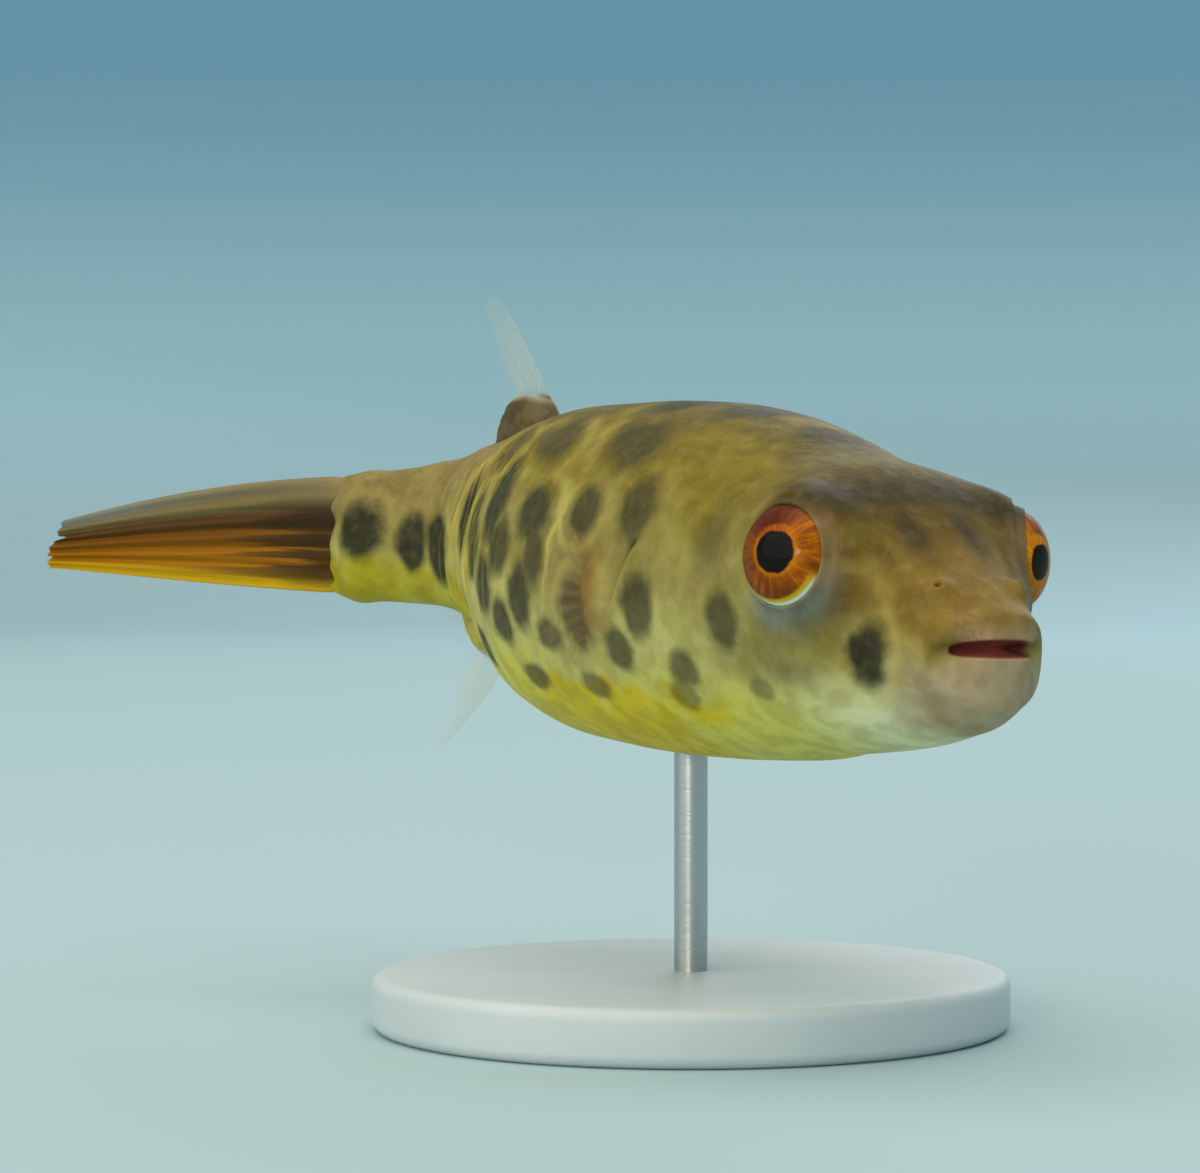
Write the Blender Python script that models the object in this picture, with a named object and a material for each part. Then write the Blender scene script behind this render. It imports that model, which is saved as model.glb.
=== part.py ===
"""A freshwater pufferfish, life size, as a still display model on a small stand.

The body is one tapering loft, bent to the right in its rear half and parted with thin cuts into head,
lower jaw, trunk and tail stem. The eyes and the fins are pieces of their own. Everything is worked out in
body coordinates (distance back from the snout along the spine, distance to the left, height) and then
carried to the stand's frame: +X is the way the fish faces, +Z is up, the origin is the middle of the
underside of the stand's base.
"""

import math
from collections import namedtuple

import bpy
import bmesh
import numpy as np
from mathutils import Matrix, Vector

MM = 0.001

# Driving dimensions, in millimetres and degrees.
STANDARD_LENGTH = 60.5
TAIL_FIN_LENGTH = 19.8
PART_GAP = 0.3
BEND_GAP = 0.4

# Pose: the tail swings to the right and droops a little, the snout dips, the body banks slightly.
BEND_ANGLE = 37.5
BEND_START = 38.0
BEND_END = 61.0
DROOP_START = 50.0
DROOP_RATE = 0.0026
NOSE_DOWN = 5.2
BANK = -1.2

# The pivot is the point of the spine above the stand's rod.
PIVOT_BACK = 30.0
PIVOT_HEIGHT = 22.5

# Stand.
BASE_RADIUS = 17.0
BASE_THICKNESS = 3.0
BASE_CHAMFER = 0.5
BASE_SEGMENTS = 48
ROD_SEGMENTS = 20
ROD_RADIUS = 0.9
ROD_DEPTH_IN_BELLY = 3.6
ROD_DEPTH_IN_BASE = 1.5

# Eyes: a ball, flatter in front than behind, whose axis is turned forwards and a little upwards. The rim is
# a rounded mound behind and round the ball, in which the ball's socket leaves a thin edge.
EYE_RADIUS = 2.4
EYE_BULGE = 1.45
EYE_DEPTH = 2.4
EYE_BACK = 10.0
EYE_SIDE = 6.85
EYE_HEIGHT = 4.45
EYE_FORWARD = 22.0
EYE_UPWARD = 5.0
EYE_GAP = 0.25
SOCKET_WAY_OUT = 4.0
RIM_RADIUS = 3.3
RIM_BULGE = 2.87
RIM_SINK = 1.5
RIM_BLEND = 0.15

# Fins: where each root starts and ends (back), how far its leading ray leans back from upright, how many
# degrees the rays open over the root, and the ray lengths at the leading edge, between and at the end.
DORSAL_ROOT = (44.8, 49.4)
DORSAL_LEAN = 46.0
DORSAL_FLESH = 2.4
ANAL_ROOT = (47.2, 51.6)
ANAL_LEAN = 130.0
ANAL_FLESH = 2.2
RAY_SPREAD = 36.0
RAY_CURVE = 6.0
RAY_LENGTHS = (7.4, 6.8, 2.4)
FIN_GRID = (11, 11)
WEB_THICKNESS = 0.5

# Side fins: a short root on the flank, leaning back as it goes down.
PECTORAL_BACK = 23.4
PECTORAL_TOP = 2.9
PECTORAL_ROOT_HEIGHT = 3.6
PECTORAL_RISE = 20.0
PECTORAL_SPREAD = 50.0
PECTORAL_LENGTHS = (4.8, 5.6, 4.4)
PECTORAL_FLESH = 1.7
PECTORAL_BURIED = 1.6
PECTORAL_GRID = (9, 11)

# Tail fin: half-height at the root, and how much of it the fin loses towards its end.
TAIL_FIN_HALF_HEIGHT = 3.45
TAIL_FIN_TAPER = 2.05
TAIL_FIN_ROOT_THICKNESS = 1.5
TAIL_FIN_GRID = (11, 13)

# Sides of the lofts.
HEAD_SIDES = 48
TRUNK_SIDES = 36
STEM_SIDES = 32
SOCKET_SIDES = 32

# Cuts between the parts, as distances back from the snout.
GILL_CUT = 20.0
TAIL_CUT = 47.4
JAW_MOUTH_BACK = 2.9
JAW_THROAT_BACK = 9.6

# The body's outline, from which every cross-section is worked out. Heights are above the snout's own line,
# and each pair of distances back says where a change begins and ends.
LIPS_BACK = 0.3
STEM_END = 59.0
STATIONS = 17
STATION_POWER = 1.4

# Half-width of the body.
LIP_SIDE = 3.0
TRUNK_SIDE = 9.2
STEM_SIDE = 2.3
WIDENING = 24.0
NARROWING = (34.0, 58.0)

# Line of the back: it climbs over the head, eases down to the dorsal fin and falls to the stem.
LIP_TOP = 1.8
BACK_TOP = 11.0
FIN_TOP = 9.8
STEM_TOP = 5.0
CLIMB = 26.0
EASING = (27.0, 45.0)
FALL = (40.0, 59.0)

# Line of the belly: a quick chin, a long belly, and a rise to the stem.
LIP_BOTTOM = -0.8
CHIN_DEPTH = 2.6
BELLY_DEPTH = 4.6
STEM_BOTTOM = -2.5
BELLY_BACK = 36.0
LIFT = (37.0, 54.0)

# Height at which the body is widest.
SNOUT_MIDDLE = 0.5
TRUNK_MIDDLE = 1.8
STEM_MIDDLE = 1.3
MIDDLE_RISE = (2.0, 14.0)
MIDDLE_FALL = (20.0, 46.0)

# The orbits swell the head here, sideways and upwards, and make its top squarer. The lips' sides lie back.
ORBIT_BACK = 10.5
ORBIT_REACH = 3.5
ORBIT_SIDE = 0.4
ORBIT_TOP = 1.1
ORBIT_SQUARE = 0.6
ROUND = 2.05
LIP_BOW = 1.9
BOW_END = 9.0

# The fin's root, as shares of the stem's end.
ROOT_SIDE = 0.6
ROOT_HEIGHT = 0.94

MOUTH_HEIGHT = 0.75
BELLY_SQUARE = 2.1

SKIN_OLIVE = (0.24, 0.21, 0.09, 1.0)
SKIN_PALE = (0.42, 0.42, 0.20, 1.0)
FIN_CLEAR = (0.45, 0.45, 0.33, 1.0)
FIN_AMBER = (0.55, 0.27, 0.02, 1.0)
EYE_ORANGE = (0.60, 0.15, 0.01, 1.0)
BASE_GREY = (0.62, 0.66, 0.68, 1.0)
ROD_STEEL = (0.60, 0.60, 0.62, 1.0)


def clear_scene():
    """Removes every object that the scene starts with."""
    for obj in list(bpy.data.objects):
        bpy.data.objects.remove(obj)


def material(name, colour, roughness, metallic=0.0):
    """A Principled material of one colour."""
    made = bpy.data.materials.new(name)
    made.use_nodes = True
    shader = made.node_tree.nodes["Principled BSDF"]
    shader.inputs["Base Color"].default_value = colour
    shader.inputs["Roughness"].default_value = roughness
    shader.inputs["Metallic"].default_value = metallic
    return made


def quarter_sine(share):
    """0 at 0, rising as a quarter of a sine wave to 1 at 1 and staying there."""
    return math.sin(math.pi / 2 * min(max(share, 0.0), 1.0))


def smoothstep(value, low, high):
    """0 below low, 1 above high, and a smooth rise between."""
    t = np.clip((np.asarray(value, float) - low) / (high - low), 0.0, 1.0)
    return t * t * (3.0 - 2.0 * t)


def monotone_curve(xs, ys, x):
    """A smooth curve through the points that never overshoots them (Fritsch and Carlson's slopes)."""
    step = np.diff(xs)
    slope = np.diff(ys) / step
    before, after = slope[:-1], slope[1:]
    same_way = before * after > 0
    weight_a = 2 * step[1:] + step[:-1]
    weight_b = step[1:] + 2 * step[:-1]
    safe_before = np.where(same_way, before, 1.0)
    safe_after = np.where(same_way, after, 1.0)
    inner = (weight_a + weight_b) / (weight_a / safe_before + weight_b / safe_after)
    tangent = np.concatenate([[slope[0]], np.where(same_way, inner, 0.0), [slope[-1]]])
    i = np.clip(np.searchsorted(xs, x, side="right") - 1, 0, len(xs) - 2)
    t = (x - xs[i]) / step[i]
    start = (2 * t**3 - 3 * t**2 + 1) * ys[i] + (t**3 - 2 * t**2 + t) * step[i] * tangent[i]
    end = (3 * t**2 - 2 * t**3) * ys[i + 1] + (t**3 - t**2) * step[i] * tangent[i + 1]
    return start + end


# One cross-section of the body: where it is, its middle height, its half-width, how far it reaches above
# and below the middle height, how square its upper half is (2 is round) and how far its sides lie back.
Section = namedtuple("Section", "back middle side rise drop square bow")


def body_section(back):
    """The body's cross-section this far back, from the outline's lines.

    The half-width and the back's line grow from the lips as a quarter of a sine wave and shrink to the stem
    by smooth steps. The belly's line is a chin that dies away exponentially to its full depth, and a quarter
    of a sine wave, lifted to the stem by a smooth step. The orbits add a bell curve.
    """
    orbit = math.exp(-(((back - ORBIT_BACK) / ORBIT_REACH) ** 2))
    side = LIP_SIDE + (TRUNK_SIDE - LIP_SIDE) * quarter_sine(back / WIDENING)
    side += ORBIT_SIDE * orbit - (TRUNK_SIDE - STEM_SIDE) * smoothstep(back, *NARROWING)
    top = LIP_TOP + (BACK_TOP - LIP_TOP) * quarter_sine(back / CLIMB) + ORBIT_TOP * orbit
    top -= (BACK_TOP - FIN_TOP) * smoothstep(back, *EASING)
    top -= (FIN_TOP - STEM_TOP) * smoothstep(back, *FALL)
    bottom = LIP_BOTTOM - CHIN_DEPTH * (1.0 - math.exp(-back / CHIN_DEPTH))
    bottom -= BELLY_DEPTH * quarter_sine(back / BELLY_BACK)
    deepest = LIP_BOTTOM - CHIN_DEPTH - BELLY_DEPTH
    bottom += (STEM_BOTTOM - deepest) * smoothstep(back, *LIFT)
    middle = SNOUT_MIDDLE + (TRUNK_MIDDLE - SNOUT_MIDDLE) * smoothstep(back, *MIDDLE_RISE)
    middle -= (TRUNK_MIDDLE - STEM_MIDDLE) * smoothstep(back, *MIDDLE_FALL)
    bow = LIP_BOW * (1.0 - smoothstep(back, 0.0, BOW_END))
    return Section(back, middle, side, top - middle, middle - bottom, ROUND + ORBIT_SQUARE * orbit, bow)


def body_sections():
    """The mouth, the lips' edge, graded stations from the lips to the stem's end, and the fin's root."""
    share = np.linspace(0.0, 1.0, STATIONS) ** STATION_POWER
    mouth = Section(1.2, MOUTH_HEIGHT, 0.10, 0.06, 0.06, 2.0, 0.0)
    lip_edge = Section(0.1, MOUTH_HEIGHT, 2.65, 0.75, 0.75, 2.0, 1.8)
    body = [body_section(back) for back in LIPS_BACK + (STEM_END - LIPS_BACK) * share]
    stem = body[-1]
    low = {"rise": ROOT_HEIGHT * stem.rise, "drop": ROOT_HEIGHT * stem.drop}
    root = stem._replace(back=STANDARD_LENGTH, side=ROOT_SIDE * stem.side, **low)
    return [mouth, lip_edge, *body, root]


SECTIONS = body_sections()


def section_at(place):
    """The section's values at a place along the table, where whole numbers are its rows."""
    table = np.array(SECTIONS, dtype=float)
    rows = np.arange(len(table), dtype=float)
    place = np.asarray(place, float)
    return Section(*(monotone_curve(rows, table[:, k], place) for k in range(table.shape[1])))


def place_at_back(back):
    """The place along the table where the section lies this far back from the snout."""
    rows = np.linspace(1.0, len(SECTIONS) - 1.0, 2000)
    return float(np.interp(back, section_at(rows).back, rows))


def spine_table():
    """Distance back, position and heading along the spine, summed in small steps."""
    back = np.linspace(-5.0, 100.0, 2101)
    heading = math.radians(BEND_ANGLE) * smoothstep(back, BEND_START, BEND_END)
    step = back[1] - back[0]
    middle = (heading[1:] + heading[:-1]) / 2
    x = np.concatenate([[0.0], np.cumsum(-np.cos(middle) * step)])
    y = np.concatenate([[0.0], np.cumsum(-np.sin(middle) * step)])
    x -= np.interp(0.0, back, x)
    y -= np.interp(0.0, back, y)
    return back, x, y, heading


SPINE = spine_table()


def body_to_fish(points):
    """Carries (back, left, height) to the fish's own straight axes, along the bent spine."""
    points = np.asarray(points, float)
    back, left, height = points[..., 0], points[..., 1], points[..., 2]
    table_back, table_x, table_y, table_heading = SPINE
    heading = np.interp(back, table_back, table_heading)
    x = np.interp(back, table_back, table_x) - left * np.sin(heading)
    y = np.interp(back, table_back, table_y) + left * np.cos(heading)
    droop = DROOP_RATE * np.maximum(back - DROOP_START, 0.0) ** 2
    return np.stack([x, y, height - droop], axis=-1)


def fish_to_stand():
    """The pose of the fish over the stand, as a matrix in millimetres."""
    pivot = Vector((-PIVOT_BACK, 0.0, 0.0))
    pitch = Matrix.Rotation(math.radians(NOSE_DOWN), 4, "Y")
    roll = Matrix.Rotation(math.radians(BANK), 4, "X")
    lift = Matrix.Translation(Vector((0.0, 0.0, PIVOT_HEIGHT)))
    return lift @ pitch @ roll @ Matrix.Translation(-pivot)


POSE = np.array(fish_to_stand())


def to_stand(points):
    """Body coordinates in millimetres to the stand's frame in metres."""
    fish = body_to_fish(points)
    return (fish @ POSE[:3, :3].T + POSE[:3, 3]) * MM


def eye_frame(side):
    """The eye's centre and its outward axis, in body coordinates; side is +1 for left."""
    forward, upward = math.radians(EYE_FORWARD), math.radians(EYE_UPWARD)
    axis = np.array([-math.sin(forward), side * math.cos(forward), math.tan(upward)])
    centre = np.array([EYE_BACK, side * EYE_SIDE, EYE_HEIGHT])
    return centre, axis / np.linalg.norm(axis)


def around_eyes(points):
    """Raises the head's surface onto a mound round each eye, as far as it lies inside the mound."""
    for side in (-1, 1):
        eye, axis = eye_frame(side)
        centre = eye - RIM_SINK * axis
        away = points - centre
        ahead = away @ axis
        beside = np.linalg.norm(away - ahead[..., None] * axis, axis=-1)
        reach = np.hypot(beside / RIM_RADIUS, ahead / RIM_BULGE)
        raised = (reach + 1.0 + np.hypot(reach - 1.0, RIM_BLEND)) / 2
        points = centre + away * (raised / reach)[..., None]
    return points


def body_rings(places, sides, grow=0.0):
    """The body's surface as rings of points in body coordinates; grow swells every ring evenly."""
    turn = np.linspace(0.0, 2 * math.pi, sides, endpoint=False)
    place, turn = np.meshgrid(np.asarray(places, float), turn, indexing="ij")
    ring = section_at(place)
    across, up = np.cos(turn), np.sin(turn)
    power = np.where(up >= 0, 2.0 / ring.square, 2.0 / BELLY_SQUARE)
    reach = np.where(up >= 0, ring.rise, ring.drop) + grow
    left = (ring.side + grow) * np.sign(across) * np.abs(across) ** power
    height = ring.middle + reach * np.sign(up) * np.abs(up) ** power
    back = ring.back + ring.bow * across**2
    return np.stack([back, left, height], axis=-1)


def object_from(name, points, faces, finish):
    """A mesh object whose points are already in the stand's frame, with its faces turned outwards."""
    mesh = bpy.data.meshes.new(name)
    mesh.from_pydata([tuple(p) for p in points], [], faces)
    work = bmesh.new()
    work.from_mesh(mesh)
    bmesh.ops.remove_doubles(work, verts=work.verts, dist=1e-6)
    bmesh.ops.recalc_face_normals(work, faces=work.faces)
    work.to_mesh(mesh)
    work.free()
    mesh.shade_smooth()
    mesh.set_sharp_from_angle(angle=math.radians(40))
    obj = bpy.data.objects.new(name, mesh)
    bpy.context.scene.collection.objects.link(obj)
    if finish:
        mesh.materials.append(finish)
    return obj


def tube_faces(rings, sides):
    """Quads between neighbouring rings, and one face over each end."""
    faces = []
    for i in range(rings - 1):
        for j in range(sides):
            k = (j + 1) % sides
            faces.append((i * sides + j, (i + 1) * sides + j, (i + 1) * sides + k, i * sides + k))
    faces.append(tuple(range(sides)))
    faces.append(tuple((rings - 1) * sides + j for j in reversed(range(sides))))
    return faces


def ring_solid(name, rings, finish):
    """A closed solid from rings of points in body coordinates."""
    count, sides = rings.shape[:2]
    return object_from(name, to_stand(rings).reshape(-1, 3), tube_faces(count, sides), finish)


def as_helper(obj):
    """Marks a cutter: it isn't part of the fish."""
    obj.hide_render = True
    obj.display_type = "WIRE"
    return obj


def boolean(obj, cutter, operation="DIFFERENCE"):
    """Adds a Boolean modifier that cuts or keeps with the cutter."""
    modifier = obj.modifiers.new(f"{operation.lower()}_{cutter.name}", "BOOLEAN")
    modifier.operation = operation
    modifier.object = cutter
    modifier.solver = "EXACT"


def back_places(first_back, last_back, count):
    """Places along the section table, evenly spaced by distance back."""
    return [place_at_back(b) for b in np.linspace(first_back, last_back, count)]


def jaw_prism(name, shrink):
    """A wedge under the mouth line, wider than the head; shrink pulls its faces inwards."""
    wide = 12.0
    ahead, below = -3.0, -12.0
    slant_shrink = 1.6 * shrink
    mouth = MOUTH_HEIGHT - shrink
    outline = (
        (ahead, mouth),
        (JAW_MOUTH_BACK - shrink, mouth),
        (JAW_THROAT_BACK - slant_shrink, below),
        (ahead, below),
    )
    rings = np.array([[(back, left, height) for back, height in outline] for left in (-wide, wide)])
    return as_helper(object_from(name, to_stand(rings).reshape(-1, 3), tube_faces(2, 4), None))


def turned_solid(name, side, profile, finish, sides=22):
    """A solid of revolution on the eye's axis, from (distance ahead of the eye's centre, radius) pairs."""
    centre, axis = eye_frame(side)
    across = np.cross(axis, (0.0, 0.0, 1.0))
    across /= np.linalg.norm(across)
    upwards = np.cross(across, axis)
    turn = np.linspace(0.0, 2 * math.pi, sides, endpoint=False)[:, None]
    ring = np.cos(turn) * across + np.sin(turn) * upwards
    rings = np.array([centre + ahead * axis + radius * ring for ahead, radius in profile])
    return ring_solid(name, rings, finish)


def egg_profile(depth, bulge, radius, steps=12):
    """The outline of a ball that is deeper behind than in front, from its back to its front."""
    turn = np.linspace(math.pi - 0.06, 0.06, steps)
    length = np.where(np.cos(turn) < 0, depth, bulge)
    return list(zip(length * np.cos(turn), radius * np.sin(turn)))


def socket_profile():
    """The room for the eye: the back half of a slightly larger ball, then a straight way to the outside."""
    radius = EYE_RADIUS + EYE_GAP
    behind = [step for step in egg_profile(EYE_DEPTH + EYE_GAP, 1.0, radius) if step[0] < -0.1]
    return behind + [(0.0, radius), (SOCKET_WAY_OUT, radius)]


def build_head(skin, pale):
    """Head and lower jaw: the loft's front, cut along the mouth and hollowed for the eyes."""
    snout = np.linspace(0.0, 4.0, 9)
    orbit = back_places(4.0, 14.5, 15)
    cheek = back_places(15.6, GILL_CUT - PART_GAP / 2, 5)
    places = np.concatenate([snout, orbit, cheek])
    rings = around_eyes(body_rings(places, HEAD_SIDES))
    head = ring_solid("head", rings, skin)
    jaw = ring_solid("lower_jaw", rings, pale)
    for name, side in SIDES:
        socket = turned_solid(f"socket_cutter_{name}", side, socket_profile(), None, SOCKET_SIDES)
        boolean(head, as_helper(socket))
    boolean(head, jaw_prism("jaw_space", 0.0))
    boolean(jaw, jaw_prism("jaw_keep", PART_GAP), "INTERSECT")


def build_trunk(skin):
    """The trunk, with a blind hole in the belly for the stand's rod."""
    places = back_places(GILL_CUT + PART_GAP / 2, TAIL_CUT - BEND_GAP / 2, 16)
    trunk = ring_solid("trunk", body_rings(places, TRUNK_SIDES), skin)
    top = belly_height() + ROD_DEPTH_IN_BELLY + PART_GAP
    hole = upright("rod_hole_cutter", ROD_RADIUS + PART_GAP, 2 * BASE_THICKNESS, top, ROD_SEGMENTS)
    boolean(trunk, as_helper(hole))


def build_tail_stem(skin):
    """The stem between the trunk and the tail fin."""
    places = back_places(TAIL_CUT + BEND_GAP / 2, STANDARD_LENGTH, 11)
    ring_solid("tail_stem", body_rings(places, STEM_SIDES), skin)


def belly_height():
    """Height of the belly over the stand's rod, in millimetres above the floor."""
    turn = np.linspace(math.pi, 2 * math.pi, 181)
    ring = section_at(place_at_back(PIVOT_BACK))
    left = ring.side * np.cos(turn)
    low = np.stack([np.full_like(turn, PIVOT_BACK), left, ring.middle + ring.drop * np.sin(turn)], axis=-1)
    return float(to_stand(low)[:, 2].min() / MM)


def upright(name, radius, low, high, segments, finish=None):
    """A round piece on the stand's axis, between two heights in millimetres."""
    mesh = bpy.data.meshes.new(name)
    work = bmesh.new()
    size = {"radius1": radius * MM, "radius2": radius * MM, "depth": (high - low) * MM}
    bmesh.ops.create_cone(work, cap_ends=True, segments=segments, **size)
    work.to_mesh(mesh)
    work.free()
    mesh.shade_smooth()
    mesh.set_sharp_from_angle(angle=math.radians(40))
    if finish:
        mesh.materials.append(finish)
    obj = bpy.data.objects.new(name, mesh)
    obj.location.z = (low + high) / 2 * MM
    bpy.context.scene.collection.objects.link(obj)
    return obj


def build_stand(base_finish, rod_finish):
    """A round base with a broken edge, and one rod up into the belly."""
    base = upright("stand_base", BASE_RADIUS, 0.0, BASE_THICKNESS, BASE_SEGMENTS, base_finish)
    edge = base.modifiers.new("broken_edge", "BEVEL")
    edge.width = BASE_CHAMFER * MM
    edge.segments = 2
    edge.limit_method = "ANGLE"
    seat = BASE_THICKNESS - ROD_DEPTH_IN_BASE
    above = 2 * BASE_THICKNESS
    hole = upright("rod_seat_cutter", ROD_RADIUS + PART_GAP, seat - PART_GAP, above, ROD_SEGMENTS)
    boolean(base, as_helper(hole))
    top = belly_height() + ROD_DEPTH_IN_BELLY
    upright("stand_rod", ROD_RADIUS, seat, top, ROD_SEGMENTS, rod_finish)


def blade(name, middle, thickness, finish):
    """A closed fin from a grid of points in body coordinates.

    middle is the fin's middle surface, rows from root to tip and columns from leading to trailing edge;
    thickness is the fin's thickness at each point, laid off half to the left and half to the right.
    """
    rows, columns = middle.shape[:2]
    half = thickness[..., None] / 2 * np.array((0.0, 1.0, 0.0))
    near = to_stand(middle + half).reshape(-1, 3)
    far = to_stand(middle - half).reshape(-1, 3)
    count = rows * columns
    faces = []
    for i in range(rows - 1):
        for j in range(columns - 1):
            a, b = i * columns + j, i * columns + j + 1
            c, d = a + columns, b + columns
            faces += [(a, b, d, c), (count + a, count + c, count + d, count + b)]
    top = list(range(columns))
    right = [i * columns + columns - 1 for i in range(rows)]
    bottom = [(rows - 1) * columns + j for j in reversed(range(columns))]
    left = [i * columns for i in reversed(range(rows))]
    rim = top + right[1:] + bottom[1:] + left[1:-1]
    for k, a in enumerate(rim):
        b = rim[(k + 1) % len(rim)]
        faces.append((a, count + a, count + b, b))
    return object_from(name, np.concatenate([near, far]), faces, finish)


def fin_grid(grid):
    """u runs from root to tip down the rows, v from leading to trailing edge along the columns."""
    rows, columns = grid
    return np.linspace(0.0, 1.0, rows)[:, None], np.linspace(0.0, 1.0, columns)


def ray_lengths(lengths, middle, v):
    """The rays' lengths over the root: at its start, at the place named middle, and at its end."""
    return monotone_curve(np.array([0.0, middle, 1.0]), np.array(lengths, float), v)


def middle_fin(name, root, up, lean, flesh, clear):
    """A fin on the fish's middle plane, whose rays turn from lean to lean + spread as they go back.

    root holds the back distances where it starts and ends; up is 1 for the back fin and -1 for the fin
    under the stem, whose lean is measured from upright too and whose rays open the other way.
    """
    u, v = fin_grid(FIN_GRID)
    start, end = (surface_height(back, up) + up * PART_GAP for back in root)
    length = ray_lengths(RAY_LENGTHS, 0.4, v)
    angle = np.radians(lean + up * (RAY_SPREAD * v + RAY_CURVE * u))
    back = root[0] + (root[1] - root[0]) * v + u * length * np.sin(angle)
    height = start + (end - start) * v + u * length * np.cos(angle)
    middle = np.stack([back, np.zeros_like(back), height], axis=-1)
    blade(name, middle, fin_thickness(u, v, flesh), clear)


def build_tail_fin(amber):
    """The tail fin, nearly folded: a long narrow blade that thins to its ragged end."""
    u, across = fin_grid(TAIL_FIN_GRID)
    v = 1.0 - 2.0 * across
    stem = section_at(len(SECTIONS) - 1.0)
    half_height = TAIL_FIN_HALF_HEIGHT - TAIL_FIN_TAPER * u**1.2 + 0.2 * np.sin(math.pi * u)
    length = TAIL_FIN_LENGTH - PART_GAP - 0.5 * v**2 + 0.35 * np.cos(7 * v)
    back = STANDARD_LENGTH + PART_GAP + u * length
    height = stem.middle - 0.2 * u + half_height * v
    middle = np.stack([back, np.zeros_like(back), height], axis=-1)
    thickness = TAIL_FIN_ROOT_THICKNESS - 0.9 * u**0.7 - 0.25 * (1 - u) * v**2
    blade("caudal_fin", middle, thickness, amber)


def surface_height(back, up):
    """Height of the back (up is 1) or the belly line (up is -1) this far back."""
    ring = section_at(place_at_back(back))
    return float(ring.middle + (ring.rise if up > 0 else -ring.drop))


def fin_thickness(u, v, root):
    """Thick and fleshy for the first fifth, then a thin web of even thickness."""
    fleshy = 1.0 - smoothstep(u, 0.05, 0.32)
    crown = np.sin(math.pi * np.clip(v, 0.08, 0.92))
    return WEB_THICKNESS + (root - WEB_THICKNESS) * fleshy * crown


def build_pectoral_fin(name, side, clear):
    """A side fin: a small fan on a short fleshy pad, standing a little off the flank."""
    u, v = fin_grid(PECTORAL_GRID)
    root_back = PECTORAL_BACK + 0.6 * (v - 0.5) ** 2
    root_height = PECTORAL_TOP - PECTORAL_ROOT_HEIGHT * v
    angle = np.radians(PECTORAL_RISE - PECTORAL_SPREAD * v)
    length = ray_lengths(PECTORAL_LENGTHS, 0.45, v)
    back = root_back + u * length * np.cos(angle)
    height = root_height + u * length * np.sin(angle)
    ring = section_at(place_at_back(PECTORAL_BACK))
    off_middle = (root_height - ring.middle) / ring.rise
    surface = ring.side * np.sqrt(np.maximum(1.0 - off_middle**2, 0.0))
    left = surface - PECTORAL_BURIED + u * length * 0.12 + 1.7 * smoothstep(u, 0.0, 0.25)
    middle = np.stack([back, side * left, height], axis=-1)
    fin = blade(name, middle, fin_thickness(u, v, PECTORAL_FLESH), clear)
    flank = body_rings(back_places(14, 40, 14), TRUNK_SIDES, PART_GAP)
    boolean(fin, as_helper(ring_solid(f"flank_cutter_{name}", flank, None)))


SIDES = (("right", -1), ("left", 1))


def main():
    """Builds every part of the fish and its stand."""
    clear_scene()
    skin = material("skin_olive", SKIN_OLIVE, 0.45)
    pale = material("skin_pale", SKIN_PALE, 0.45)
    clear = material("fin_clear", FIN_CLEAR, 0.35)
    amber = material("fin_amber", FIN_AMBER, 0.35)
    eye = material("eye_orange", EYE_ORANGE, 0.10)
    base = material("base_grey", BASE_GREY, 0.50)
    steel = material("rod_steel", ROD_STEEL, 0.30, 1.0)
    build_head(skin, pale)
    build_trunk(skin)
    build_tail_stem(skin)
    build_tail_fin(amber)
    middle_fin("dorsal_fin", DORSAL_ROOT, 1, DORSAL_LEAN, DORSAL_FLESH, clear)
    middle_fin("anal_fin", ANAL_ROOT, -1, ANAL_LEAN, ANAL_FLESH, clear)
    for name, side in SIDES:
        build_pectoral_fin(f"pectoral_fin_{name}", side, clear)
        turned_solid(f"eye_{name}", side, egg_profile(EYE_DEPTH, EYE_BULGE, EYE_RADIUS), eye)
    build_stand(base, steel)


main()
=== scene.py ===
"""A life-size freshwater pufferfish on a plain display stand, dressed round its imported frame.

Every shape is a surface of two parameters, worked out with numpy as whole arrays. The fish is laid out in
body coordinates, in millimetres: distance back from the snout along the spine, distance to the left, and
height. They are then bent along the spine and carried to the stand's frame, in metres, with +X the way the
fish faces.
"""

from __future__ import annotations

import logging
import math
from dataclasses import dataclass
from enum import Enum
from functools import cached_property
from typing import NamedTuple

import bpy
import numpy as np
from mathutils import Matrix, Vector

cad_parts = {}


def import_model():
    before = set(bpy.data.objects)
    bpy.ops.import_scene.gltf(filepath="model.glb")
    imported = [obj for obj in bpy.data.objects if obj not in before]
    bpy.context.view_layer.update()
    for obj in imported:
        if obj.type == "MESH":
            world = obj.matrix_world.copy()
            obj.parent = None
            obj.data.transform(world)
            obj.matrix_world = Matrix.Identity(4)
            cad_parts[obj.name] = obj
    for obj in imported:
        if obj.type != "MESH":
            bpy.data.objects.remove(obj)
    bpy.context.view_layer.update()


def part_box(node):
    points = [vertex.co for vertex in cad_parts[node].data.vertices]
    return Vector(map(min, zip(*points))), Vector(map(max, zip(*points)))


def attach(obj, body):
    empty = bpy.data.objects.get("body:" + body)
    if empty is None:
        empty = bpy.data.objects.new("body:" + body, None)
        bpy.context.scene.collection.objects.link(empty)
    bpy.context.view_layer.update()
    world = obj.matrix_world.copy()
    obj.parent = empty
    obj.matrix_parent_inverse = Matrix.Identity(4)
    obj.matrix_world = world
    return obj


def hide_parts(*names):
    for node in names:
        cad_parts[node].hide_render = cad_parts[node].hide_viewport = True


Array = np.ndarray
Piece = bpy.types.Object
Material = bpy.types.Material
Socket = bpy.types.NodeSocket

LOG = logging.getLogger("pufferfish")
MM = 0.001
BODY = "root"
OUTSIDE = 9.0  # what stands for the share of a point beyond an eye patch


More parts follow.
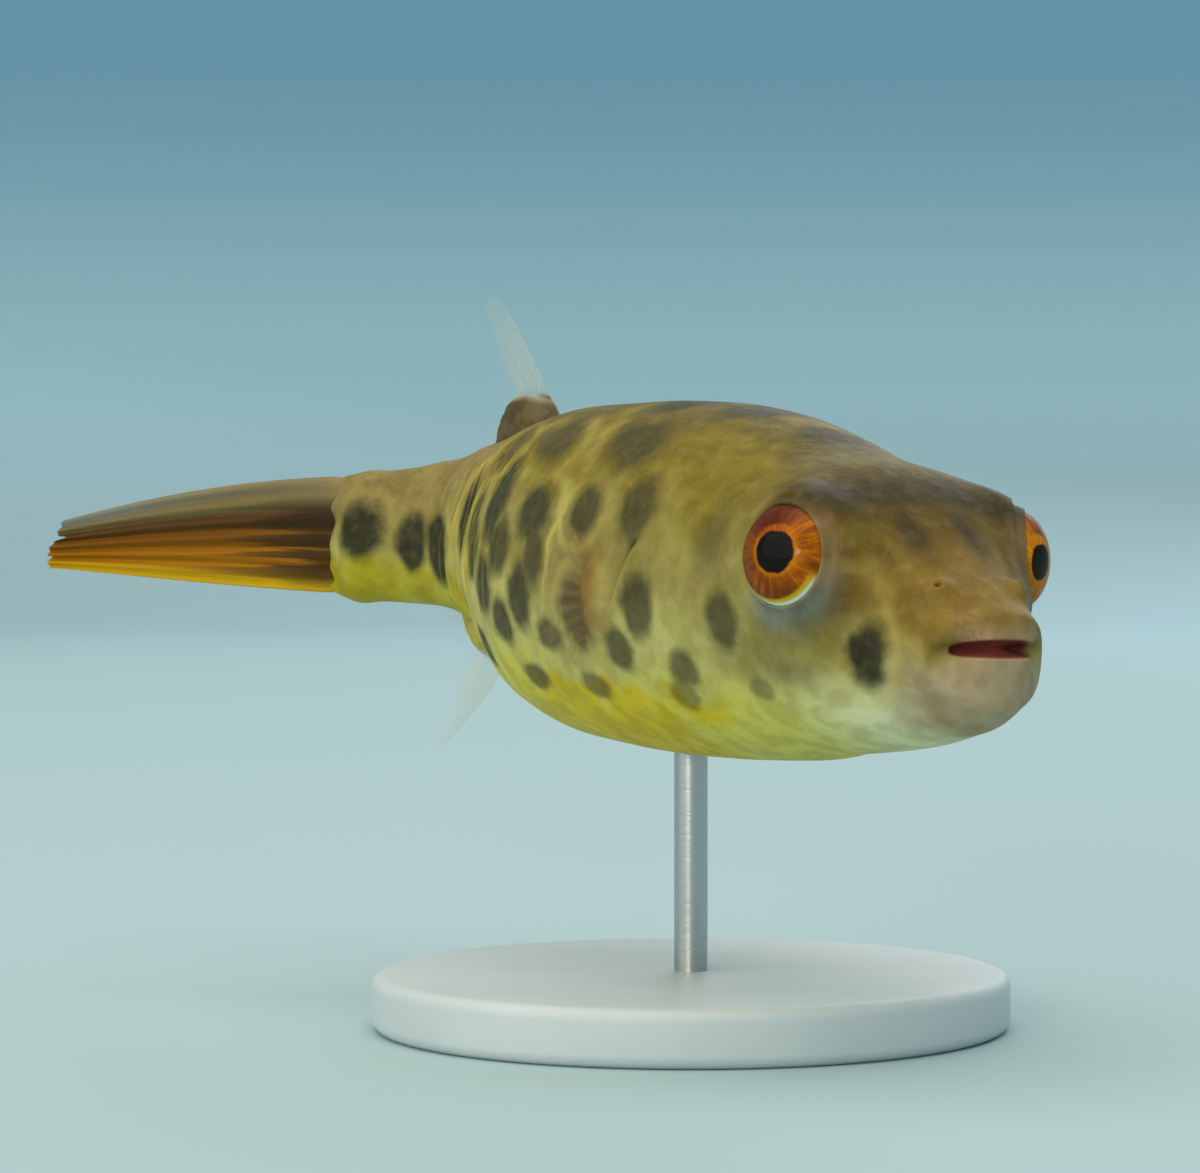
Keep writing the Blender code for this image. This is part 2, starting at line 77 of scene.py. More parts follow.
class Side(Enum):
    """The fish's own right and left, with the sign of its y axis."""

    RIGHT = -1
    LEFT = 1

    @property
    def word(self) -> str:
        """The side as it stands in names."""
        return self.name.lower()


# ---- Numbers and arrays ----


def smoothstep(value: Array, low: float, high: float) -> Array:
    """0 below low, 1 above high, and 3t^2 - 2t^3 between."""
    t = np.clip((np.asarray(value, float) - low) / (high - low), 0.0, 1.0)
    return t * t * (3.0 - 2.0 * t)


def bell(value: Array, centre: float, width: float) -> Array:
    """A Gaussian bump: exp of minus the square of the distance from centre over width."""
    return np.exp(-(((np.asarray(value, float) - centre) / width) ** 2))


def unit(vectors: Array) -> Array:
    """The vectors divided by their lengths."""
    return vectors / np.maximum(np.linalg.norm(vectors, axis=-1, keepdims=True), 1e-12)


def monotone_curve(xs: Array, ys: Array, x: Array) -> Array:
    """A smooth curve through points that never overshoots them (Fritsch and Carlson's slopes).

    Args:
        xs: The points' places, rising.
        ys: The points' values.
        x: Where to read the curve.

    Returns:
        The curve's values at x.
    """
    xs, ys, x = np.asarray(xs, float), np.asarray(ys, float), np.asarray(x, float)
    step = np.diff(xs)
    slope = np.diff(ys) / step
    before, after = slope[:-1], slope[1:]
    same_way = before * after > 0
    weight_a = 2 * step[1:] + step[:-1]
    weight_b = step[1:] + 2 * step[:-1]
    safe_before = np.where(same_way, before, 1.0)
    safe_after = np.where(same_way, after, 1.0)
    inner = (weight_a + weight_b) / (weight_a / safe_before + weight_b / safe_after)
    tangent = np.concatenate([[slope[0]], np.where(same_way, inner, 0.0), [slope[-1]]])
    i = np.clip(np.searchsorted(xs, x, side="right") - 1, 0, len(xs) - 2)
    t = (x - xs[i]) / step[i]
    start = (2 * t**3 - 3 * t**2 + 1) * ys[i] + (t**3 - 2 * t**2 + t) * step[i] * tangent[i]
    end = (3 * t**2 - 2 * t**3) * ys[i + 1] + (t**3 - t**2) * step[i] * tangent[i + 1]
    return start + end


def soft_noise(points: Array, size: float, seed: int) -> Array:
    """Smooth noise between about -1 and 1: a sum of sines along a dozen fixed, scattered directions.

    Args:
        points: Positions in millimetres, with three values last.
        size: The noise's typical wavelength in millimetres.
        seed: Picks the directions and phases.

    Returns:
        One value for each position.
    """
    dice = np.random.default_rng(seed)
    waves = 12
    directions = unit(dice.normal(size=(waves, 3))) * (2 * math.pi / size)
    directions *= dice.uniform(0.6, 1.5, size=(waves, 1))
    phases = dice.uniform(0.0, 2 * math.pi, size=waves)
    return np.sin(points @ directions.T + phases).sum(axis=-1) / math.sqrt(waves)


# ---- Meshes ----


class Cap(Enum):
    """How the end of a loft of rings is closed."""

    POLE = "one point in the ring's middle"
    ZIP = "each point joined to the one across the ring"
    OPEN = "left open"


def ring_faces(rows: int, columns: int) -> Array:
    """Quads between neighbouring rings, each ring closed on itself."""
    i, j = np.meshgrid(np.arange(rows - 1), np.arange(columns), indexing="ij")
    k = (j + 1) % columns
    quads = [i * columns + j, (i + 1) * columns + j, (i + 1) * columns + k, i * columns + k]
    return np.stack(quads, axis=-1).reshape(-1, 4)


def cap_faces(first: int, columns: int, cap: Cap, pole: int, flip: bool) -> list[tuple[int, ...]]:
    """The faces that close one end of a surface, as tuples of point numbers.

    Args:
        first: The number of the end ring's first point.
        columns: How many points the ring has.
        cap: The way of closing it.
        pole: The number of the point in the middle, for a pole.
        flip: Whether the faces look the other way.
    """
    if cap is Cap.OPEN:
        return []
    if cap is Cap.POLE:
        j = np.arange(columns)
        corners = [first + j, first + (j + 1) % columns, np.full(columns, pole)]
    else:
        j = np.arange(columns // 2 - 1)
        far = columns - 1 - j
        corners = [first + j, first + j + 1, first + far - 1, first + far]
    faces = np.stack(corners[::-1] if flip else corners, axis=-1)
    return [tuple(face) for face in faces.tolist()]


def signed_volume(mesh: bpy.types.Mesh) -> float:
    """Six times the mesh's volume, below 0 if its faces look inwards: a . (b x c) summed over triangles."""
    mesh.calc_loop_triangles()
    corners = np.empty(len(mesh.loop_triangles) * 3, np.int32)
    mesh.loop_triangles.foreach_get("vertices", corners)
    places = np.empty(len(mesh.vertices) * 3, np.float32)
    mesh.vertices.foreach_get("co", places)
    a, b, c = places.reshape(-1, 3)[corners.reshape(-1, 3)].transpose(1, 0, 2).astype(float)
    return float(np.einsum("ij,ij->i", a, np.cross(b, c)).sum())


def with_mean(values: Array, ring: slice) -> Array:
    """The values with the mean of one ring's added at their end."""
    return np.concatenate([values, values[ring].mean(axis=0, keepdims=True)])


@dataclass
class Surface:
    """A smooth mesh piece in the making: its name, what it is made of and how its end rings are closed."""

    name: str
    material: Material
    caps: tuple[Cap, Cap] = (Cap.POLE, Cap.POLE)

    def loft(self, rings: Array, fields: dict[str, Array]) -> Piece:
        """Makes the piece from rings of points, a closed one with its faces turned outwards.

        Args:
            rings: Points in metres, as rows, columns and three values; each row closes on itself.
            fields: Values at the same points: one number each, or four for a colour.

        Returns:
            The object, linked to the scene.
        """
        rows, columns = rings.shape[:2]
        points = rings.reshape(-1, 3)
        flat = {key: value.reshape(rows * columns, *value.shape[2:]) for key, value in fields.items()}
        faces = [tuple(face) for face in ring_faces(rows, columns).tolist()]
        for cap, row, flip in zip(self.caps, (0, rows - 1), (False, True)):
            first = row * columns
            faces += cap_faces(first, columns, cap, len(points), flip)
            if cap is Cap.POLE:
                ring = slice(first, first + columns)
                points = with_mean(points, ring)
                flat = {key: with_mean(value, ring) for key, value in flat.items()}
        mesh = bpy.data.meshes.new(self.name)
        mesh.from_pydata(points.tolist(), [], faces)
        for key, values in flat.items():
            kind, word = ("FLOAT_COLOR", "color") if values.ndim == 2 else ("FLOAT", "value")
            attribute = mesh.attributes.new(key, kind, "POINT")
            attribute.data.foreach_set(word, values.astype(np.float32).ravel())
        mesh.shade_smooth()
        mesh.validate()
        mesh.materials.append(self.material)
        if Cap.OPEN not in self.caps and signed_volume(mesh) < 0:
            mesh.flip_normals()
        piece = bpy.data.objects.new(self.name, mesh)
        bpy.context.scene.collection.objects.link(piece)
        return piece

    def turned(self, profile: Array, centre: tuple[float, float], sides: int) -> Piece:
        """Makes the piece by carrying a profile round an upright line.

        Args:
            profile: Radii and heights in metres, from one end to the other.
            centre: Where the upright line stands.
            sides: How many steps go round.

        Returns:
            The object.
        """
        turn = np.linspace(0.0, 2 * math.pi, sides, endpoint=False)
        radius, height = profile[:, :1], profile[:, 1:]
        x = centre[0] + radius * np.cos(turn)
        y = centre[1] + radius * np.sin(turn)
        return self.loft(np.stack([x, y, np.broadcast_to(height, x.shape)], axis=-1), {})


# ---- The body's form ----


class Section(NamedTuple):
    """One cross-section of the body, in millimetres.

    It has a distance back, a middle height, a half-width, the reach above and below the middle, how square
    its upper half is (2 is round) and how far its sides lie behind its middle.
    """

    back: Array | float
    middle: Array | float
    side: Array | float
    rise: Array | float
    drop: Array | float
    square: Array | float
    bow: Array | float


def quarter_sine(share: float) -> float:
    """0 at 0, rising as a quarter of a sine wave to 1 at 1 and staying there."""
    return math.sin(math.pi / 2 * min(max(share, 0.0), 1.0))


@dataclass(frozen=True)
class Outline:
    """The lines from which every cross-section is worked out, in millimetres.

    Heights are above the snout's own line, and a pair is the distances back where a change begins and ends.
    """

    lip_side: float = 3.0
    trunk_side: float = 9.2
    stem_side: float = 2.3
    widening: float = 24.0
    narrowing: tuple[float, float] = (34.0, 58.0)
    lip_top: float = 2.2
    back_top: float = 11.0
    fin_top: float = 9.8
    stem_top: float = 5.0
    climb: float = 26.0
    easing: tuple[float, float] = (27.0, 45.0)
    fall: tuple[float, float] = (40.0, 59.0)
    lip_bottom: float = -0.8
    chin_depth: float = 2.6
    belly_depth: float = 4.6
    stem_bottom: float = -2.5
    belly_back: float = 36.0
    lift: tuple[float, float] = (37.0, 54.0)
    snout_middle: float = 0.5
    trunk_middle: float = 1.8
    stem_middle: float = 1.3
    middle_rise: tuple[float, float] = (2.0, 14.0)
    middle_fall: tuple[float, float] = (20.0, 46.0)
    orbit_back: float = 10.5
    orbit_reach: float = 3.5
    orbit_side: float = 0.4
    orbit_top: float = 1.1
    orbit_square: float = 0.6
    round: float = 2.05
    lip_bow: float = 1.9
    bow_end: float = 9.0

    def section(self, back: float) -> Section:
        """The body's cross-section this far back.

        The half-width and the back's line grow from the lips as a quarter of a sine wave and shrink to the
        stem by smooth steps. The belly's line is a chin that dies away exponentially to its full depth, and
        a quarter of a sine wave, lifted to the stem by a smooth step. The orbits add a bell curve.

        Args:
            back: The distance back from the snout.

        Returns:
            The cross-section there.
        """
        orbit = bell(back, self.orbit_back, self.orbit_reach)
        side = self.lip_side + (self.trunk_side - self.lip_side) * quarter_sine(back / self.widening)
        narrowed = (self.trunk_side - self.stem_side) * smoothstep(back, *self.narrowing)
        side += self.orbit_side * orbit - narrowed
        top = self.lip_top + (self.back_top - self.lip_top) * quarter_sine(back / self.climb)
        top += self.orbit_top * orbit - (self.back_top - self.fin_top) * smoothstep(back, *self.easing)
        top -= (self.fin_top - self.stem_top) * smoothstep(back, *self.fall)
        bottom = self.lip_bottom - self.chin_depth * (1.0 - math.exp(-back / self.chin_depth))
        bottom -= self.belly_depth * quarter_sine(back / self.belly_back)
        deepest = self.lip_bottom - self.chin_depth - self.belly_depth
        bottom += (self.stem_bottom - deepest) * smoothstep(back, *self.lift)
        lifted = (self.trunk_middle - self.snout_middle) * smoothstep(back, *self.middle_rise)
        middle = self.snout_middle + lifted
        middle -= (self.trunk_middle - self.stem_middle) * smoothstep(back, *self.middle_fall)
        bow = self.lip_bow * (1.0 - smoothstep(back, 0.0, self.bow_end))
        square = self.round + self.orbit_square * orbit
        return Section(back, middle, side, top - middle, middle - bottom, square, bow)


@dataclass(frozen=True)
class BodyForm:
    """The fish's body without its fins: sections along a spine that bends to the right behind the belly."""

    outline: Outline = Outline()
    mouth: tuple[Section, ...] = (
        Section(1.35, 1.09, 1.50, 0.22, 0.22, 2.2, 1.4),  # end of the mouth's pocket
        Section(1.15, 1.10, 1.85, 0.32, 0.34, 3.0, 1.6),  # pocket
        Section(0.85, 1.10, 2.00, 0.34, 0.42, 3.4, 1.7),  # slit between the lips
        Section(0.50, 1.08, 2.35, 0.52, 0.54, 2.8, 1.8),  # crest of the lips
    )
    lips_back: float = 0.7
    stem_end: float = 59.0
    stations: int = 17
    station_power: float = 1.4
    fin_root: tuple[tuple[float, float, float], ...] = ((60.5, 0.62, 0.95), (61.2, 0.27, 0.85))
    lip_row: int = 3
    belly_square: float = 2.1
    mouth_arch: float = 0.26
    bend_angle: float = 37.5
    bend_start: float = 38.0
    bend_end: float = 61.0
    droop_start: float = 50.0
    droop_rate: float = 0.0026
    nose_down: float = 5.2
    bank: float = -1.2
    pivot_back: float = 30.0
    pivot_height: float = 22.5
    spine_reach: tuple[float, float, int] = (-5.0, 100.0, 2101)
    readings: int = 4000

    @cached_property
    def sections(self) -> tuple[Section, ...]:
        """The mouth's rings, graded stations from the lips to the stem's end, and the fin root's rings."""
        share = np.linspace(0.0, 1.0, self.stations) ** self.station_power
        backs = self.lips_back + (self.stem_end - self.lips_back) * share
        body = [self.outline.section(float(back)) for back in backs]
        stem = body[-1]
        root = [stem._replace(back=back, side=narrow * stem.side, rise=low * stem.rise, drop=low * stem.drop)
                for back, narrow, low in self.fin_root]
        return (*self.mouth, *body, *root)

    def section_at(self, place: Array) -> Section:
        """The section's values at places along the table, where whole numbers are its rows."""
        table = np.array(self.sections, dtype=float)
        rows = np.arange(len(table), dtype=float)
        return Section(*(monotone_curve(rows, table[:, k], place) for k in range(table.shape[1])))

    def place_at_back(self, back: Array) -> Array:
        """The places along the table where the sections lie this far back, behind the lips."""
        rows = np.linspace(self.lip_row, len(self.sections) - 1.0, self.readings)
        return np.interp(back, self.section_at(rows).back, rows)

    def surface(self, place: Array, turn: Array) -> Array:
        """The body's surface without eyes or folds.

        Across is cos(turn) and up is sin(turn); each is raised to 2 over the section's squareness, keeping
        its sign, and stretched to the half-width and the reach. The sides lie back by the bow times across
        squared.

        Args:
            place: Places along the table of sections.
            turn: Angles round the section, 0 at the left side and a quarter turn at the back.

        Returns:
            Points in body coordinates.
        """
        ring = self.section_at(place)
        across, up = np.cos(turn), np.sin(turn)
        at_mouth = 1.0 - smoothstep(place, self.lip_row, self.lip_row + 1.5)
        below = self.belly_square + (ring.square - self.belly_square) * at_mouth
        power = np.where(up >= 0, 2.0 / ring.square, 2.0 / below)
        reach = np.where(up >= 0, ring.rise, ring.drop)
        left = ring.side * np.sign(across) * np.abs(across) ** power
        height = ring.middle + reach * np.sign(up) * np.abs(up) ** power
        arch = self.mouth_arch * (1.0 - smoothstep(place, self.lip_row, self.lip_row + 2.0))
        height = height - arch * across**2
        back = ring.back + ring.bow * across**2
        return np.stack([back, left, height], axis=-1)

    def place_in_body(self, back: float, angle: float, side: Side) -> Array:
        """The point of the surface this far back, at an angle in degrees above the side's middle."""
        turn = math.radians(angle) if side is Side.LEFT else math.pi - math.radians(angle)
        return self.surface(self.place_at_back(back), np.asarray(turn))

    def spine(self) -> tuple[Array, Array, Array, Array]:
        """Distance back, x, y and heading along the spine.

        The heading follows a smooth step from 0 to the bend's angle, and the position is its sum in small
        steps.
        """
        back = np.linspace(*self.spine_reach)
        heading = math.radians(self.bend_angle) * smoothstep(back, self.bend_start, self.bend_end)
        step = back[1] - back[0]
        middle = (heading[1:] + heading[:-1]) / 2
        x = np.concatenate([[0.0], np.cumsum(-np.cos(middle) * step)])
        y = np.concatenate([[0.0], np.cumsum(-np.sin(middle) * step)])
        return back, x - np.interp(0.0, back, x), y - np.interp(0.0, back, y), heading

    def to_frame(self, points: Array) -> Array:
        """Body coordinates in millimetres to the stand's frame in metres.

        The point slides along the bent spine, swings with its heading and droops with the square of the
        distance behind the droop's start. The whole fish then banks, dips its snout and rises over the rod.
        """
        back, left, height = points[..., 0], points[..., 1], points[..., 2]
        table_back, table_x, table_y, table_heading = self.spine()
        heading = np.interp(back, table_back, table_heading)
        x = np.interp(back, table_back, table_x) - left * np.sin(heading) + self.pivot_back
        y = np.interp(back, table_back, table_y) + left * np.cos(heading)
        z = height - self.droop_rate * np.maximum(back - self.droop_start, 0.0) ** 2
        bank, dip = math.radians(self.bank), math.radians(self.nose_down)
        y, z = y * math.cos(bank) - z * math.sin(bank), y * math.sin(bank) + z * math.cos(bank)
        x, z = x * math.cos(dip) + z * math.sin(dip), z * math.cos(dip) - x * math.sin(dip)
        return np.stack([x, y, z + self.pivot_height], axis=-1) * MM


# ---- The eyes' places in the head ----


@dataclass(frozen=True)
class EyeSeat:
    """Where an eye sits: its centre, its outward axis, the mound of skin round it and the edge of the lid."""

    side: Side
    back: float = 10.0
    out: float = 6.85
    height: float = 4.45
    forward: float = 22.0
    upward: float = 5.0
    mound_radius: float = 3.3
    mound_bulge: float = 2.87
    mound_sink: float = 1.5
    mound_blend: float = 0.15
    opening: float = 2.42
    cells: int = 36
    lid_cell: int = 16
    rim_cell: int = 25
    rim_angle: float = 0.19
    reach_angle: float = 1.24
    roll_height: float = 0.10
    roll: tuple[float, float] = (0.12, 0.13)
    groove: tuple[float, float] = (0.55, 0.16)
    groove_share: float = 0.6
    guess_turn: float = 33.0
    guess_ahead: float = 1.0
    rounds: int = 12
    nudge: float = 1e-4
    stride: float = 0.2
    socket: tuple[tuple[float, float, float], ...] = (
        (0.00, 1.000, 0.00),
        (0.12, 0.975, -0.06),
        (0.26, 1.000, -0.34),
        (0.50, 1.050, -1.10),
        (0.76, 0.700, -1.95),
        (1.00, 0.000, -2.15),
    )

    @property
    def axis(self) -> Array:
        """The way the eye looks out of the head, in body coordinates."""
        forward = math.radians(self.forward)
        across = self.side.value * math.cos(forward)
        return unit(np.array([-math.sin(forward), across, math.tan(math.radians(self.upward))]))

    @property
    def centre(self) -> Array:
        """The eye's centre, in body coordinates."""
        return np.array([self.back, self.side.value * self.out, self.height])

    @property
    def basis(self) -> tuple[Array, Array]:
        """Two directions across the axis: towards the snout, and up."""
        ahead = np.array([-1.0, 0.0, 0.0])
        snoutwards = unit(ahead - (ahead @ self.axis) * self.axis)
        upwards = np.cross(snoutwards, self.axis)
        return snoutwards, upwards * np.sign(upwards[2])

    @property
    def lid_angle(self) -> float:
        """The angle off the axis at which the lid's edge lies on the mound."""
        return math.asin(self.opening / self.mound_radius)

    def chart(self, points: Array) -> Array:
        """Flat coordinates round the eye: the angle off the mound's axis, laid off the point's way."""
        away = points - (self.centre - self.mound_sink * self.axis)
        snoutwards, upwards = self.basis
        flat = np.stack([away @ snoutwards, away @ upwards], axis=-1)
        beside = np.linalg.norm(flat, axis=-1)
        angle = np.arctan2(beside / self.mound_radius, (away @ self.axis) / self.mound_bulge)
        return flat / np.maximum(beside, 1e-9)[..., None] * angle[..., None]

    def raise_mound(self, points: Array) -> Array:
        """Lifts points that lie inside the mound out to it, along lines from the mound's centre.

        The mound is a half ellipsoid; the lift is a smooth maximum of 1 and the point's own reach.
        """
        centre = self.centre - self.mound_sink * self.axis
        away = points - centre
        ahead = away @ self.axis
        beside = np.linalg.norm(away - ahead[..., None] * self.axis, axis=-1)
        reach = np.hypot(beside / self.mound_radius, ahead / self.mound_bulge)
        raised = (reach + 1.0 + np.hypot(reach - 1.0, self.mound_blend)) / 2
        return centre + away * (raised / np.maximum(reach, 1e-9))[..., None]

    def solve(self, form: BodyForm, place: Array, turn: Array, goal: Array) -> tuple:
        """Finds where on the body the chart reads a goal, by Newton's steps with measured slopes.

        Args:
            form: The body.
            place: First guesses of the places along the sections.
            turn: First guesses of the angles round them.
            goal: The chart coordinates to reach.

        Returns:
            The places and the turns.
        """
        for _ in range(self.rounds):
            here = self.chart(form.surface(place, turn))
            by_place = (self.chart(form.surface(place + self.nudge, turn)) - here) / self.nudge
            by_turn = (self.chart(form.surface(place, turn + self.nudge)) - here) / self.nudge
            miss = goal - here
            area = by_place[..., 0] * by_turn[..., 1] - by_place[..., 1] * by_turn[..., 0]
            area = np.where(np.abs(area) < 1e-6, 1e-6, area)
            move_place = (miss[..., 0] * by_turn[..., 1] - miss[..., 1] * by_turn[..., 0]) / area
            move_turn = (miss[..., 1] * by_place[..., 0] - miss[..., 0] * by_place[..., 1]) / area
            place = place + np.clip(move_place, -self.stride, self.stride)
            turn = turn + np.clip(move_turn, -self.stride, self.stride)
        return place, turn

    def first_guess(self, form: BodyForm) -> tuple[float, float]:
        """The place and turn under the middle of the eye."""
        turn = math.radians(self.guess_turn)
        turn = turn if self.side is Side.LEFT else math.pi - turn
        place = form.place_at_back(self.back - self.guess_ahead)
        place, turn = self.solve(form, np.asarray(place, float), np.asarray(turn), np.zeros(2))
        return float(place), float(turn)

    def bend_grid(self, form: BodyForm, place: Array, turn: Array) -> tuple:
        """Draws the grid's lines into circles round the eye, so that the lid's edge follows one of them.

        Squares of cells round the eye's middle become circles by the concentric map of a square to a disc.
        The circles are close together at the lid, and melt back into the plain grid at the patch's edge.

        Args:
            form: The body.
            place: The grid's places along the sections.
            turn: The grid's angles round them.

        Returns:
            The new places and turns, and each point's share of the way from the eye's middle to the patch's
            edge, which is OUTSIDE beyond the patch.
        """
        place_here, turn_here = self.first_guess(form)
        row = int(np.argmin(np.abs(place[:, 0] - place_here)))
        column = int(np.argmin(np.abs(turn[0] - turn_here)))
        rows = slice(row - self.cells, row + self.cells + 1)
        columns = slice(column - self.cells, column + self.cells + 1)
        steps = np.arange(-self.cells, self.cells + 1) / self.cells
        a, b = np.meshgrid(steps, steps, indexing="ij")
        share = np.maximum(np.abs(a), np.abs(b))
        safe_a, safe_b = np.where(a == 0, 1.0, a), np.where(b == 0, 1.0, b)
        by_a = math.pi / 4 * (b / safe_a) + np.where(a < 0, math.pi, 0.0)
        by_b = math.pi / 2 - math.pi / 4 * (a / safe_b) + np.where(b < 0, math.pi, 0.0)
        around = np.where(np.abs(a) >= np.abs(b), by_a, by_b)
        plain = self.chart(form.surface(place[rows, columns], turn[rows, columns]))
        middle, span = self.cells, 6
        along_rows = unit(plain[middle + span, middle] - plain[middle - span, middle])
        along_columns = plain[middle, middle + span] - plain[middle, middle - span]
        along_columns = unit(along_columns - (along_columns @ along_rows) * along_rows)
        direction = np.cos(around)[..., None] * along_rows + np.sin(around)[..., None] * along_columns
        lid, rim = self.lid_cell / self.cells, self.rim_cell / self.cells
        stops = (0.0, lid, rim, 1.0)
        angles = (0.0, self.lid_angle, self.lid_angle + self.rim_angle, self.reach_angle)
        angle = np.interp(share, stops, angles)
        round_share = (1.0 - smoothstep(share, rim, 1.0))[..., None]
        goal = round_share * angle[..., None] * direction + (1.0 - round_share) * plain
        new_place, new_turn = self.solve(form, place[rows, columns], turn[rows, columns], goal)
        place, turn = place.copy(), turn.copy()
        place[rows, columns], turn[rows, columns] = new_place, new_turn
        shares = np.full(place.shape, OUTSIDE)
        shares[rows, columns] = share
        return place, turn, shares

    def open_lid(self, points: Array, shares: Array) -> Array:
        """Rolls the skin over the lid's edge and down behind the eyeball.

        Inside the lid's edge the skin follows the socket's profile: radius as a share of the opening and
        depth behind the edge, against the share of the way from the edge to the middle. Outside, a low roll
        of skin runs round the edge, followed by a shallow groove.
        """
        chart = self.chart(points)
        angle = np.linalg.norm(chart, axis=-1)
        flat = chart / np.maximum(angle, 1e-9)[..., None]
        snoutwards, upwards = self.basis
        outwards = flat[..., :1] * snoutwards + flat[..., 1:] * upwards
        beyond = (angle - self.lid_angle) * self.mound_radius
        near = (shares < 1.0) & (beyond >= 0)
        roll = self.roll_height * (bell(beyond, *self.roll) - self.groove_share * bell(beyond, *self.groove))
        points = np.where(near[..., None], points + roll[..., None] * self.axis, points)
        lid = self.lid_cell / self.cells
        inward = np.clip(1.0 - shares / lid, 0.0, 1.0)
        way, radii, depths = np.array(self.socket).T
        radius = self.opening * monotone_curve(way, radii, inward)
        edge = self.mound_bulge * math.cos(self.lid_angle) - self.mound_sink
        edge += self.roll_height * float(bell(0.0, *self.roll))
        depth = edge + monotone_curve(way, depths, inward)
        socket = self.centre + radius[..., None] * outwards + depth[..., None] * self.axis
        return np.where((shares <= lid)[..., None], socket, points)


# ---- Materials ----


def linear(code: str) -> tuple[float, float, float, float]:
    """An sRGB hex colour, such as #8a6f3c, as linear red, green, blue and 1."""
    parts = (int(code[i : i + 2], 16) / 255 for i in (1, 3, 5))
    return (*(p / 12.92 if p <= 0.04045 else ((p + 0.055) / 1.055) ** 2.4 for p in parts), 1.0)


def add(
    tree: bpy.types.NodeTree, kind: str, inputs: dict | None = None, **settings: object
) -> bpy.types.Node:
    """Adds a node with its settings and links.

    Args:
        tree: The material's node tree.
        kind: The node's type.
        inputs: Values or output sockets for its inputs, by name or number.
        settings: The node's own properties.

    Returns:
        The node.
    """
    made = tree.nodes.new(kind)
    for key, value in settings.items():
        setattr(made, key, value)
    for key, value in (inputs or {}).items():
        if isinstance(value, Socket):
            tree.links.new(value, made.inputs[key])
        else:
            made.inputs[key].default_value = value
    return made


def under_skin(weight: float, reach: tuple[float, float, float], depth_mm: float) -> dict[str, object]:
    """A shader's inputs for light that spreads below the surface, by red, green and blue."""
    return {"Subsurface Weight": weight, "Subsurface Radius": reach, "Subsurface Scale": depth_mm * MM}


class Shading:
    """A material in the making, with short ways of writing its arithmetic; most return an output socket.

    It holds one colour, over which others are laid by a share from 0 to 1. Colours may be hex or sockets.
    """

    def __init__(self, name: str) -> None:
        """Starts the material with only its output and the object coordinates."""
        self.material = bpy.data.materials.new(name)
        self.material.use_nodes = True
        self.tree = self.material.node_tree
        self.tree.nodes.clear()
        self.output = add(self.tree, "ShaderNodeOutputMaterial")
        self.place = add(self.tree, "ShaderNodeTexCoord").outputs["Object"]
        self.colour: object = None

    def field(self, name: str, output: str = "Fac") -> Socket:
        """The number, or with the output Color the colour, that the mesh holds under this name."""
        return add(self.tree, "ShaderNodeAttribute", attribute_name=name).outputs[output]

    def maths(self, operation: str, *values: object) -> Socket:
        """One step of arithmetic on numbers."""
        return add(self.tree, "ShaderNodeMath", dict(enumerate(values)), operation=operation).outputs[0]

    def times(self, first: object, second: object) -> Socket:
        """Two numbers multiplied."""
        return self.maths("MULTIPLY", first, second)

    def plus(self, first: object, second: object) -> Socket:
        """Two numbers added."""
        return self.maths("ADD", first, second)

    def rise(self, value: object, low: float, high: float, top: float = 1.0) -> Socket:
        """A smooth step from 0 at low to top at high; high may be the smaller."""
        inputs = {"Value": value, "From Min": low, "From Max": high, "To Max": top}
        return add(self.tree, "ShaderNodeMapRange", inputs, interpolation_type="SMOOTHSTEP").outputs[0]

    def noise(self, size: float, detail: float = 2.0, place: object = None) -> Socket:
        """Noise with features of a size in millimetres, from about 0.3 to 0.7."""
        inputs = {"Vector": place or self.place, "Scale": 1.0 / (size * MM), "Detail": detail}
        return add(self.tree, "ShaderNodeTexNoise", inputs).outputs["Fac"]

    def drawn_noise(self, detail: float, **axes: tuple[object, float]) -> Socket:
        """Noise on coordinates X, Y and Z, each given as a number and its scale."""
        scaled = {axis: self.times(value, scale) for axis, (value, scale) in axes.items()}
        place = add(self.tree, "ShaderNodeCombineXYZ", scaled).outputs[0]
        inputs = {"Vector": place, "Scale": 1.0, "Detail": detail}
        return add(self.tree, "ShaderNodeTexNoise", inputs).outputs["Fac"]

    def swing(self, noise: object, amount: float) -> Socket:
        """A noise swung about 0: it less a half, times an amount."""
        return self.times(self.maths("SUBTRACT", noise, 0.5), amount)

    def mixed(self, share: object, first: object, second: object, blend: str = "MIX") -> Socket:
        """Two colours mixed by a share."""
        first, second = (linear(code) if isinstance(code, str) else code for code in (first, second))
        inputs = {0: share, 6: first, 7: second}
        return add(self.tree, "ShaderNodeMix", inputs, data_type="RGBA", blend_type=blend).outputs[2]

    def tinted(self, code: str, blend: str = "MULTIPLY") -> Socket:
        """The material's colour wholly blended with another."""
        return self.mixed(1.0, self.colour, code, blend)

    def lay(self, share: object, colour: object) -> None:
        """Lays a colour over the material's own by a share."""
        self.colour = self.mixed(share, self.colour, colour)

    def bumps(self, height: object, depth: float, **under: object) -> Socket:
        """Normals from a height of 0 to 1 that stands for a depth in millimetres, over others if given."""
        inputs = {"Height": height, "Distance": depth * MM, "Strength": 1.0, **under}
        return add(self.tree, "ShaderNodeBump", inputs).outputs["Normal"]

    def finished(self, inputs: dict[str, object]) -> Material:
        """Joins a shader with these inputs and the material's colour to the output."""
        shader = add(self.tree, "ShaderNodeBsdfPrincipled", {"Base Color": self.colour, **inputs})
        self.tree.links.new(shader.outputs[0], self.output.inputs["Surface"])
        return self.material


